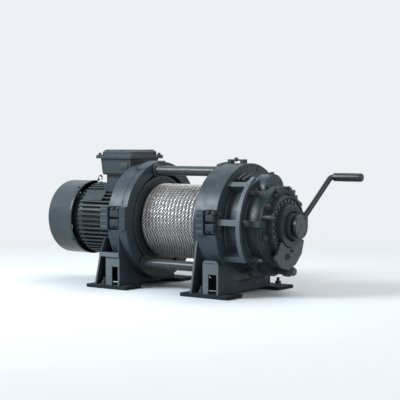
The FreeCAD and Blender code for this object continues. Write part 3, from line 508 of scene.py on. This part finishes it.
def fan_cover():
    """Deep-drawn sheet cover with a rounded back edge, a hemmed rim and a grille of radial slots."""
    slots = 12
    half_slot = 0.0035
    inner, outer = 0.034, 0.1
    corner = 0.015
    back = COVER_LOW.x
    rim = COVER_HIGH.x
    profile = [(inner, back), (0.05, back), (0.067, back), (0.084, back), (outer, back), (0.11, back)]
    for step in range(9):
        turn = math.radians(90.0 * step / 8.0)
        radius = COVER_RADIUS - corner + corner * math.sin(turn)
        profile.append((radius, back + corner - corner * math.cos(turn)))
    hem = COVER_RADIUS + 0.0008
    profile += [(COVER_RADIUS, rim - 0.016), (hem, rim - 0.013), (hem, rim - 0.003), (COVER_RADIUS, rim)]
    mesh = bmesh.new()
    columns = 8
    rings = []
    for radius, x in profile:
        opening = math.degrees(math.asin(half_slot / min(radius, outer)))
        sector = 360.0 / slots
        ring = []
        for slot in range(slots):
            for column in range(columns):
                share = opening + (sector - 2.0 * opening) * column / (columns - 1)
                ring.append(mesh.verts.new(on_shaft(x, radius, 90.0 + sector * slot + share)))
        rings.append(ring)
    centre = mesh.verts.new(on_shaft(back, 0.0, 0.0))
    count = slots * columns
    for row, (near, far) in enumerate(zip(rings, rings[1:])):
        for index in range(count):
            in_slot = index % columns == columns - 1
            if in_slot and profile[row + 1][0] <= outer + 1e-6:
                continue
            after = (index + 1) % count
            mesh.faces.new((near[index], near[after], far[after], far[index]))
    for index in range(count):
        mesh.faces.new((centre, rings[0][index], rings[0][(index + 1) % count]))
    bmesh.ops.recalc_face_normals(mesh, faces=mesh.faces)
    shell = finished("fan_cover_shell", mesh, PAINT["sheet"], replaces="motor_fan_cover")
    wall = shell.modifiers.new("wall", "SOLIDIFY")
    wall.thickness = 0.0022
    wall.offset = -1.0

    screws = bmesh.new()
    for angle in (125.0, 35.0, -55.0, -145.0):
        seat = on_shaft(rim - 0.0136, COVER_RADIUS - 0.0005, angle)
        bolt(screws, seat, seat - on_shaft(seat.x, 0.0, 0.0), 0.0052, 0.0036)
    finished("fan_cover_screws", screws, PAINT["bolt"])


def terminal_box_trim():
    """Lid screws on their ears, the gasket under the box, a dark strip of painted shadow under the lid and a
    blank pad on its front.
    """
    ears = bmesh.new()
    screws = bmesh.new()
    inset = 0.01
    ear_rise = 0.0025
    for x in (LID_LOW.x + inset, LID_HIGH.x - inset):
        for y in (LID_LOW.y + inset, LID_HIGH.y - inset):
            seat = Vector((x, y, LID_PLATE_TOP))
            rod(ears, at(seat, UP), 0.0088, ear_rise, start=-0.008, bevel=0.001, sides=24)
            bolt(screws, seat + UP * ear_rise, UP, 0.0058, 0.006, washer=False)
    low, high = BOX_LOW.x, BOX_HIGH.x
    top = BOX_HIGH.z
    block(ears, (low + 0.012, -0.066, top - 0.004), (high - 0.012, 0.066, top + 0.0015))
    face = BOX_LOW.y
    block(ears, (-0.25, face - 0.0012, 0.412), (-0.213, face + 0.004, 0.433))
    finished("terminal_box_ears", ears, PAINT["sheet"])
    finished("terminal_box_screws", screws, PAINT["bolt"])

    seal = bmesh.new()
    bottom = NECK_HIGH.z
    block(seal, (low + 0.005, -0.075, bottom - 0.006), (high - 0.007, 0.075, bottom + 0.0002))
    # Dark strip along the joint under the lid's rim: painted shadow of the lid's overhang.
    block(seal, (LID_LOW.x + 0.012, -0.0805, top - 0.002), (LID_HIGH.x - 0.012, 0.0805, top + 0.0004))
    finished("terminal_box_gasket_and_shadow", seal, GAP)


def lifting_eye():
    """Forged eye bolt: a round loop on a turned collar."""
    low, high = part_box("motor_lifting_eye")
    middle = (low + high) / 2.0
    wire = 0.004
    loop = 0.01
    mesh = bmesh.new()
    hub = Vector((middle.x, 0.0, high.z - loop - wire))
    turned = at(hub, ALONG_SHAFT)
    section = []
    for step in range(12):
        turn = 2.0 * math.pi * step / 12
        section.append((loop + wire * math.cos(turn), wire * math.sin(turn)))
    lathe(mesh, section, turned, 32, closed=True)
    collar = [(0.0, 0.0), (0.0088, 0.0), (0.0088, 0.0035), (0.006, 0.005), (0.0042, 0.0075), (0.0, 0.0075)]
    lathe(mesh, collar, at(Vector((middle.x, 0.0, low.z)), UP), 32)
    finished("eye_bolt", mesh, ZINC, replaces="motor_lifting_eye")


def motor_trim():
    """Bolts of the motor flange."""
    bolts = bmesh.new()
    flange_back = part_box("motor_flange")[0].x
    for index in range(8):
        bolt(bolts, on_shaft(flange_back, 0.139, 22.5 + 45.0 * index), -ALONG_SHAFT, 0.0085, 0.007)
    finished("motor_flange_bolts", bolts, PAINT["bolt"])


fan_cover()
terminal_box_trim()
lifting_eye()
motor_trim()


# Rings and their clamps


def clamp(blocks, bolts, studs, start, end, side):
    """Clamp in one bay of a lug: two jaws over and under the split, drawn together by a bolt."""
    near, far = sorted((side * (LUG_REACH - 0.003), side * (LUG_REACH - 0.0225)))
    middle = (start + end) / 2.0
    bottom, top = SPLIT - 0.028, SPLIT + 0.026
    for low, high in ((bottom, SPLIT - 0.004), (SPLIT + 0.004, top)):
        block(blocks, (start + 0.006, near, low), (end - 0.005, far, high), 0.003)
    for x in (middle - 0.011, middle + 0.011):
        axis = Vector((x, side * (LUG_REACH - 0.012), 0.0))
        bolt(bolts, axis + UP * top, UP, 0.0085, 0.008)
        thread(studs, at(axis + UP * (top + 0.007), UP), 0.0048, 0.0, 0.006)
        bolt(bolts, axis + UP * bottom, -UP, 0.0085, 0.006)


def ridges(mesh, start, end, side):
    """Low ribs across the plain part of a lug."""
    low, high = sorted((side * (LUG_REACH - 0.001), side * (LUG_REACH + 0.0014)))
    for level in (-0.03, -0.01, 0.012, 0.031):
        block(mesh, (start, low, SPLIT + level - 0.003), (end, high, SPLIT + level + 0.003), 0.0008)


def ring_trim():
    """Clamp jaws, a dark strip of painted shade for a groove, small dark marks, rim bands, tie-rod collars
    and face bolts of both rings.
    """
    jaws = bmesh.new()
    bolts = bmesh.new()
    studs = bmesh.new()
    trim = bmesh.new()
    light = bmesh.new()
    seams = bmesh.new()
    for side in (-1.0, 1.0):
        clamp(jaws, bolts, studs, *LEFT_BAY, side)
        clamp(jaws, bolts, studs, *RIGHT_BAY, side)
        ridges(light, LEFT_LOW.x + 0.001, LEFT_BAY[0] - 0.002, side)
        ridges(light, 0.187, RIGHT_BAY[0] - 0.002, side)
    # Thin dark strip round the ring: painted shade standing in for a groove.
    arc_band(seams, -0.1445, -0.1412, RING_RADIUS - 0.002, RING_RADIUS + 0.0002, 0.0, 180.0, 0.0001)
    arc_band(trim, -0.139, -0.1168, RING_RADIUS - 0.002, RING_RADIUS + 0.0012, 14.0, 166.0)
    arc_band(trim, -0.161, -0.1166, RING_RADIUS - 0.002, RING_RADIUS + 0.006, 86.0, 119.0, 0.003)
    arc_band(trim, 0.156, 0.17, RING_RADIUS - 0.004, RING_RADIUS + 0.004, 88.0, 106.0, 0.002)
    collar = 0.012
    for angle in ROD_ANGLES:
        for x in (LEFT_HIGH.x, RIGHT_LOW.x - collar):
            place = at(on_shaft(x, ROD_CIRCLE, angle), ALONG_SHAFT)
            hoop(trim, 0.0165, 0.0225, 0.0, collar, 0.002, place, 40)

    face = RIGHT_HIGH.x
    for spot in ((-0.182, 0.272), (-0.183, 0.229), (-0.185, 0.203), (-0.145, 0.099)):
        for point in both_sides((face, spot[0], spot[1])):
            bolt(bolts, point, ALONG_SHAFT, 0.0082, 0.0065)
    arc_band(trim, face - 0.001, face + 0.02, 0.163, 0.171, 96.0, 117.0, 0.002)
    arc_band(trim, face - 0.001, face + 0.012, 0.172, 0.18, 106.0, 121.0, 0.002)
    hoop(trim, 0.158, 0.166, face, face + 0.009, 0.0015)
    rod(seams, at(Vector((face, 0.037, 0.414)), ALONG_SHAFT), 0.0055, MARK_HEIGHT)
    rod(seams, at(Vector((face, 0.045, 0.425)), ALONG_SHAFT), 0.0035, MARK_HEIGHT, sides=16)
    bolt(bolts, Vector((0.206, -0.011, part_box("ring_lifting_bar")[1].z - 0.0005)), FORWARD, 0.006, 0.005)
    # The jaws take the darker frame paint as painted shade of the bay they sit in.
    finished("clamp_jaws", jaws, PAINT["frame"])
    finished("clamp_bolts", bolts, PAINT["bolt"])
    finished("clamp_studs", studs, PAINT["light"])
    finished("ring_trim", trim, PAINT["housing"])
    finished("lug_ridges", light, PAINT["light"])
    finished("ring_groove_shade", seams, GAP)


ring_trim()


# Gear end


def gear_trim():
    """Tie bolts, flange nuts, rim bands and small fittings of the gear case."""
    bolts = bmesh.new()
    rods = bmesh.new()
    bright = bmesh.new()
    trim = bmesh.new()
    seams = bmesh.new()
    hoop(trim, 0.129, 0.139, CASE_FACE - 0.0005, CASE_FACE + 0.004, 0.0012)
    hoop(trim, 0.128, 0.1325, FLANGE_BACK - 0.012, FLANGE_BACK - 0.001, 0.001)
    for spot in (0.356, 0.106):
        for point in both_sides((LOBE_FACE, -0.041, spot)):
            bolt(bolts, point, ALONG_SHAFT, 0.0065, 0.005)
    for level in (0.34, 0.122):
        lobe = at(Vector((0.0, 0.0, level)), ALONG_SHAFT)
        hoop(seams, 0.0585, 0.0602, LOBE_FACE - 0.0045, LOBE_FACE - 0.0015, 0.0001, lobe, 64)
    bolt(bolts, Vector((0.341, 0.0, 0.3995)), UP, 0.009, 0.007)

    rod_circle = 0.148
    for angle in (132.7, 227.3, 180.0 - 132.7, 180.0 - 227.3):
        rod(rods, at(on_shaft(CASE_FACE, rod_circle, angle), ALONG_SHAFT), 0.0065, 0.0485, bevel=0.0015)
        bolt(bolts, on_shaft(CASE_FACE + 0.026, rod_circle, angle), ALONG_SHAFT, 0.0105, 0.009)
    for angle in (163.5, 180.0 - 163.5):
        place = at(on_shaft(FLANGE_FACE, 0.121, angle), ALONG_SHAFT)
        lathe(rods, [(0.0, 0.0), (0.0062, 0.0), (0.0062, 0.03), (0.005, 0.031), (0.0, 0.031)], place, 20)
    for angle in (145.6, 196.2, 239.4, 34.4, -16.2, -59.4):
        bolt(bolts, on_shaft(FLANGE_FACE, 0.117, angle), ALONG_SHAFT, 0.0115, 0.0095, stud=0.004)
    boss_circle = 0.124
    boss_length = 0.03
    for angle in (72.0, 108.0):
        boss = at(on_shaft(LOBE_FACE, boss_circle, angle), ALONG_SHAFT)
        rod(trim, boss, 0.0115, boss_length, start=-0.002, bevel=0.001, sides=28)
        bolt(bolts, on_shaft(LOBE_FACE + boss_length, boss_circle, angle), ALONG_SHAFT, 0.0095, 0.008)
    block(bolts, (FLANGE_FACE - 0.001, 0.053, 0.315), (FLANGE_FACE + 0.014, 0.075, 0.33), 0.002)

    teeth = 13
    first, sweep = 62.0, 56.0
    half_tooth = 1.3
    low, high = FLANGE_FACE - 0.0005, FLANGE_FACE + 0.0085
    for index in range(teeth):
        middle = first + sweep * index / (teeth - 1)
        arc_band(trim, low, high, 0.107, 0.1195, middle - half_tooth, middle + half_tooth, 0.0012)
    rivets = 24
    for index in range(rivets):
        spot = at(on_shaft(TRACK_FLOOR, 0.0825, 360.0 * (index + 0.5) / rivets), ALONG_SHAFT)
        lathe(bright, [(0.0, 0.0), (0.0034, 0.0), (0.0026, 0.0018), (0.0, 0.0026)], spot, 12)
    # Dark arc on the bearing boss: painted shade standing in for a curved slot.
    arc_band(seams, COLLAR_FACE - 0.0135, COLLAR_FACE - 0.0126, 0.0535, 0.0605, 20.0, 75.0, 0.0001)
    finished("gear_bolts", bolts, PAINT["bolt"])
    finished("gear_rods", rods, PAINT["light"])
    finished("track_rivets", bright, STEEL)
    finished("gear_trim", trim, PAINT["housing"])
    finished("gear_seams_and_slot_shade", seams, GAP)


def lower_cover_trim():
    """Flat dark plates on the lower cover, painted shade standing in for its openings: a six-pointed star
    and a rounded hatch.
    """
    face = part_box("lower_cover_plate")[1].x
    mesh = bmesh.new()
    star = []
    for index in range(12):
        turn = math.radians(30.0 * index)
        reach = 0.0175 if index % 2 == 0 else 0.0095
        star.append((-0.024 + 1.35 * reach * math.cos(turn), AXIS.z - 0.099 + 0.75 * reach * math.sin(turn)))
    plate(mesh, star, face, face + MARK_HEIGHT)
    hatch = (
        (-0.01, 0.152), (-0.004, 0.156), (0.016, 0.153),
        (0.016, 0.145), (0.001, 0.144), (-0.008, 0.147),
    )
    plate(mesh, hatch, face, face + MARK_HEIGHT)
    finished("lower_cover_openings", mesh, GAP)


def locking_knob():
    """Knob on a round neck, with a dark hexagonal nut and a lighter end."""
    low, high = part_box("locking_knob")
    seat = at(Vector((low.x, (low.y + high.y) / 2.0, (low.z + high.z) / 2.0)), ALONG_SHAFT)
    length = high.x - low.x
    neck = bmesh.new()
    rod(neck, seat, 0.0125, 0.02, sides=32)
    end = length + 0.006
    lathe(neck, [(0.0, 0.043), (0.0148, 0.043), (0.0148, end - 0.004), (0.011, end), (0.0, end)], seat, 6)
    finished("knob_neck", neck, PAINT["light"])
    nut = bmesh.new()
    body = [(0.0, 0.019), (0.0165, 0.019), (0.0185, 0.021), (0.0185, 0.045), (0.0165, 0.047), (0.0, 0.047)]
    lathe(nut, body, seat, 6)
    finished("knob_nut", nut, PAINT["bolt"], replaces="locking_knob")


def oil_plug():
    """Threaded plug with a flange ring and a flat end."""
    low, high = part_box("oil_plug")
    front = at(Vector(((low.x + high.x) / 2.0, low.y, (low.z + high.z) / 2.0)), -FORWARD)
    depth = high.y - low.y
    mesh = bmesh.new()
    profile = [(0.0, 0.0), (0.0105, 0.0), (0.0122, 0.0015), (0.0122, 0.006)]
    root, crest = 0.012, 0.0138
    threads, pitch = 5, 0.0036
    for index in range(threads):
        start = 0.007 + pitch * index
        profile += [(root, start), (crest, start + 0.0009), (crest, start + 0.0022), (root, start + 0.0031)]
    profile += [(0.0139, 0.027), (0.0139, depth), (0.0, depth)]
    lathe(mesh, profile, front, 40)
    finished("threaded_plug", mesh, PAINT["bolt"], replaces="oil_plug")


gear_trim()
lower_cover_trim()
locking_knob()
oil_plug()


# Feet


def foot_trim():
    """Holding-down bolts of the feet, rims of their holes and a dark disc of painted shade for the small
    hole of the right base beam.
    """
    nuts = bmesh.new()
    holes = bmesh.new()
    for x, y in ((0.184, -0.178), (-0.236, -0.18), (0.254, 0.178), (-0.236, 0.178)):
        bolt(nuts, Vector((x, y, PLATE_TOP)), UP, 0.0115, 0.0095, stud=0.012)
    hole_row = 0.178
    for x in (-0.205, -0.13, 0.205, 0.28):
        for y in (-hole_row, hole_row):
            ring = at(Vector((x, y, PLATE_TOP)), UP)
            hoop(nuts, 0.0068, 0.0115, -0.0002, 0.0012, 0.0004, ring, 28)
    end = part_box("right_floor_rail")[1].x
    # Dark disc: painted shade standing in for the hole.
    rod(holes, at(Vector((end, -0.0486, 0.0405)), ALONG_SHAFT), 0.0035, MARK_HEIGHT, sides=16)
    finished("foot_bolts", nuts, PAINT["bolt"])
    finished("beam_holes", holes, GAP)


foot_trim()


# Hand crank


def crank():
    """Forged arm with a round elbow, on a stepped hub with a blank end disc."""
    lean = math.radians(36.4)
    upwards = Vector((0.0, math.sin(lean), math.cos(lean)))
    side = ALONG_SHAFT.cross(upwards)
    radius = 0.199
    grip_low, grip_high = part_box("crank_grip")
    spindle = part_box("crank_arm")[1].x - 0.096
    elbow = spindle - 0.011

    def spot(x, reach):
        return AXIS + ALONG_SHAFT * x + upwards * reach

    root = spot(0.452, 0.034)
    corner = spot(elbow, radius)
    end = spot(spindle, radius)
    bend = 0.0105
    first = corner + (root - corner).normalized() * bend
    last = corner + (end - corner).normalized() * bend
    route = [root, root.lerp(first, 0.5)]
    for step in range(9):
        share = step / 8.0
        route.append(first.lerp(corner, share).lerp(corner.lerp(last, share), share))
    route.append(end)
    mesh = bmesh.new()
    tube(mesh, route, 0.009, side)
    tube(mesh, [end, spot(spindle + 0.095, radius)], 0.006, side)
    hub = [
        (0.0, 0.411), (0.02, 0.411), (0.02, 0.437), (0.029, 0.437), (0.03, 0.438), (0.03, 0.447),
        (0.0385, 0.447), (0.04, 0.4485), (0.04, 0.4555), (0.0385, 0.457), (0.0, 0.457),
    ]
    lathe(mesh, hub, ON_AXIS, 64)
    finished("crank_forging", mesh, PAINT["crank"], "crank", "crank_arm")

    disc = bmesh.new()
    face = 0.4576
    rod(disc, ON_AXIS, 0.038, face, start=0.457, sides=64)
    finished("crank_end_disc", disc, PAINT["light"], "crank")
    # Dark discs on the end disc: painted shade standing in for its holes.
    marks = bmesh.new()
    for reach, angle in ((0.0035, 155.0), (0.0195, -156.5), (0.0305, -142.0), (0.028, -60.8), (0.03, 18.0)):
        rod(marks, at(on_shaft(face, reach, angle), ALONG_SHAFT), 0.0032, 0.0003, sides=16)
    finished("crank_disc_holes", marks, GAP, "crank")

    grip = bmesh.new()
    handle = at(spot(grip_low.x, radius), ALONG_SHAFT)
    length = grip_high.x - grip_low.x
    profile = [(0.0, 0.0), (0.0115, 0.0), (0.0132, 0.0012), (0.0138, 0.004), (0.0141, 0.02)]
    profile += [(0.0144, 0.5 * length), (0.0142, length - 0.018)]
    for step in range(7):
        turn = math.radians(90.0 * step / 6.0)
        profile.append((0.0142 - 0.0065 * (1.0 - math.cos(turn)), length - 0.0075 + 0.0075 * math.sin(turn)))
    profile.append((0.0, length))
    lathe(grip, profile, handle, 48)
    finished("moulded_grip", grip, GRIP, "grip", "crank_grip")


crank()


def drum_rims():
    """Turned lips on the inner faces of the drum flanges."""
    mesh = bmesh.new()
    low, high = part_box("rope_drum")
    for x in (low.x + 0.014, high.x - 0.0155):
        hoop(mesh, 0.1465, 0.1575, x, x + 0.0015, 0.0006)
    finished("drum_flange_lips", mesh, PAINT["rod"], "drum")


drum_rims()


# Painted light on the leg fronts and on the outer faces of the gear case's ribs and bands, and lighter paint
# on the lower cover

RIB_TOP = 0.1885


def faces_front(middle, normal):
    """Whether a face lies on the front of a leg, above its plate and below the ring."""
    return normal.y < -0.9 and middle.y < -0.18 and middle.z < 0.13


def faces_outwards(middle, normal):
    """Whether a face lies on the far side from the drum."""
    return normal.x > 0.9


def tops_rib(middle, normal):
    """Whether a face lies on the outside of a rib or band of the gear case."""
    return math.hypot(middle.y, middle.z - AXIS.z) > RIB_TOP


# The front faces of the legs get painted light.
for leg in ("left_front_leg", "right_front_leg"):
    lighten(leg, PAINT["panel"], faces_front)
lighten("lower_cover_plate", PAINT["light"], faces_outwards)
# The outer faces of the gear case's ribs and bands get painted highlight.
lighten("gear_case", PAINT["panel"], tops_rib)


# Rope


def rope_winding():
    """One layer of wire rope: six strands twisted round each other, wound on the drum as a helix."""
    turns = 19
    pitch = 0.0155
    rope_radius = 0.0074
    strands = 6
    lay_length = 0.069
    widening = 1.12
    low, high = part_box("rope_winding")
    centre_radius = (high.z - low.z) / 2.0 - 0.0075
    start_x = low.x + pitch / 2.0
    lean = math.sin(math.pi / strands)
    strand_radius = rope_radius * lean / (1.0 + lean)
    strand_circle = rope_radius - strand_radius
    samples = 6
    around = strands * samples
    turn_length = math.hypot(2.0 * math.pi * centre_radius, pitch)
    wound = turns - 1
    length = wound * turn_length
    step_length = 0.0046
    steps = int(length / step_length)
    first_angle = -0.35 * math.pi
    verts = []
    uvs = []
    for step in range(steps + 1):
        along = length * step / steps
        angle = first_angle + 2.0 * math.pi * along / turn_length
        out = Vector((0.0, math.cos(angle), math.sin(angle)))
        middle = Vector((start_x + pitch * along / turn_length, 0.0, AXIS.z)) + out * centre_radius
        across = Vector((1.0, 0.0, 0.0))
        twist = -2.0 * math.pi * along / lay_length
        for index in range(around):
            within = (index % samples) / samples
            delta = (within - 0.5) * 2.0 * math.pi / strands
            inside = max(strand_radius ** 2 - (strand_circle * math.sin(delta)) ** 2, 0.0)
            reach = strand_circle * math.cos(delta) + math.sqrt(inside)
            turn = 2.0 * math.pi * index / around + twist
            verts.append(middle + (out * math.cos(turn) + across * math.sin(turn) * widening) * reach)
    faces = []
    for step in range(steps):
        row = step * around
        for index in range(around):
            after = (index + 1) % around
            faces.append((row + index, row + after, row + around + after, row + around + index))
            first = (index % samples) / samples
            second = first + 1.0 / samples
            near_end = length * step / steps
            far_end = length * (step + 1) / steps
            uvs += [(near_end, first), (near_end, second), (far_end, second), (far_end, first)]
    faces.append(tuple(range(around)))
    uvs += [(0.0, 0.5)] * around
    last = steps * around
    faces.append(tuple(last + index for index in reversed(range(around))))
    uvs += [(0.0, 0.5)] * around
    data = bpy.data.meshes.new("rope_turns")
    data.from_pydata(verts, [], faces)
    layer = data.uv_layers.new(name="lay")
    layer.data.foreach_set("uv", [value for pair in uvs for value in pair])
    data.materials.append(ROPE)
    data.shade_smooth()
    made = bpy.data.objects.new("rope_turns", data)
    bpy.context.scene.collection.objects.link(made)
    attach(made, "drum")
    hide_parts("rope_winding")


rope_winding()


# Floor, light and camera


def studio_surface(name, colour, dim, fade_from=None, fade_to=None):
    """A pale matt surface that the camera and reflections see as written and that lights the object less."""
    s = Shader(name)
    paths = s.add("ShaderNodeLightPath")
    seen = s.math("MAXIMUM", paths.outputs["Is Camera Ray"], paths.outputs["Is Glossy Ray"])
    seen = s.math("MAXIMUM", seen, paths.outputs["Is Transmission Ray"])
    tone = s.blend(seen, shade(colour, dim), shade(colour, 1.0))
    s.set(Base_Color=tone, Roughness=0.9, Specular_IOR_Level=0.1)
    if fade_from is None:
        return s.material
    flat = s.add("ShaderNodeVectorMath", operation="LENGTH")
    s.feed(flat.inputs[0], s.coords)
    far = s.spread(flat.outputs["Value"], fade_from, fade_to)
    glow = s.add("ShaderNodeEmission")
    s.feed(glow.inputs["Color"], s.blend(seen, shade(BACKDROP, dim), shade(BACKDROP, 1.0)))
    joined = s.add("ShaderNodeMixShader")
    s.feed(joined.inputs[0], far)
    s.feed(joined.inputs[1], s.principled.outputs["BSDF"])
    s.feed(joined.inputs[2], glow.outputs["Emission"])
    output = s.tree.nodes["Material Output"]
    s.tree.links.new(joined.outputs[0], output.inputs["Surface"])
    return s.material


BACKDROP = (0.84, 0.875, 0.905)
FLOOR = (0.8, 0.835, 0.86)

floor_mesh = bmesh.new()
bmesh.ops.create_circle(floor_mesh, cap_ends=True, segments=96, radius=30.0)
floor_data = bpy.data.meshes.new("floor")
floor_mesh.to_mesh(floor_data)
floor_mesh.free()
floor = bpy.data.objects.new("floor", floor_data)
bpy.context.scene.collection.objects.link(floor)
floor_data.materials.append(studio_surface("pale_floor", FLOOR, 0.45, 0.7, 2.3))


def world_light():
    """Backdrop that lights the object less than the camera and reflections see it."""
    world = bpy.data.worlds.new("studio")
    bpy.context.scene.world = world
    world.use_nodes = True
    tree = world.node_tree
    sky = tree.nodes["Background"]
    paths = tree.nodes.new("ShaderNodeLightPath")
    seen = tree.nodes.new("ShaderNodeMath")
    seen.operation = "MAXIMUM"
    tree.links.new(paths.outputs["Is Camera Ray"], seen.inputs[0])
    tree.links.new(paths.outputs["Is Glossy Ray"], seen.inputs[1])
    also = tree.nodes.new("ShaderNodeMath")
    also.operation = "MAXIMUM"
    tree.links.new(seen.outputs[0], also.inputs[0])
    tree.links.new(paths.outputs["Is Transmission Ray"], also.inputs[1])
    strength = tree.nodes.new("ShaderNodeMapRange")
    strength.inputs[3].default_value = 0.32
    strength.inputs[4].default_value = 1.0
    tree.links.new(also.outputs[0], strength.inputs[0])
    tree.links.new(strength.outputs[0], sky.inputs["Strength"])
    sky.inputs["Color"].default_value = BACKDROP + (1.0,)


def softbox(name, place, aim, width, height, power, colour=(1.0, 1.0, 1.0)):
    """Rectangular lamp that points from its place at its aim."""
    lamp = bpy.data.lights.new(name, "AREA")
    lamp.shape = "RECTANGLE"
    lamp.size = width
    lamp.size_y = height
    lamp.energy = power
    lamp.color = colour
    made = bpy.data.objects.new(name, lamp)
    bpy.context.scene.collection.objects.link(made)
    made.location = place
    made.rotation_euler = (Vector(aim) - Vector(place)).to_track_quat("-Z", "Y").to_euler()


def camera():
    """Stands where the photograph was taken from."""
    place = Vector((2.3536, -3.1479, 0.4951))
    target = Vector((0.0457, 0.0, 0.3066))
    lens = bpy.data.cameras.new("camera")
    lens.sensor_width = 36.0
    lens.lens = 101.36
    made = bpy.data.objects.new("camera", lens)
    bpy.context.scene.collection.objects.link(made)
    made.location = place
    made.rotation_euler = (target - place).to_track_quat("-Z", "Y").to_euler()
    bpy.context.scene.camera = made


world_light()
softbox("key", (-1.9, -2.4, 2.1), (-0.1, 0.0, 0.3), 1.4, 1.4, 150.0, (0.88, 0.95, 1.0))
softbox("fill", (3.2, -1.2, 1.3), (0.2, 0.0, 0.25), 1.6, 1.6, 30.0)
softbox("top", (0.3, 1.2, 2.8), (0.0, 0.0, 0.3), 2.4, 1.4, 45.0)
bpy.context.scene.view_settings.view_transform = "Standard"
camera()
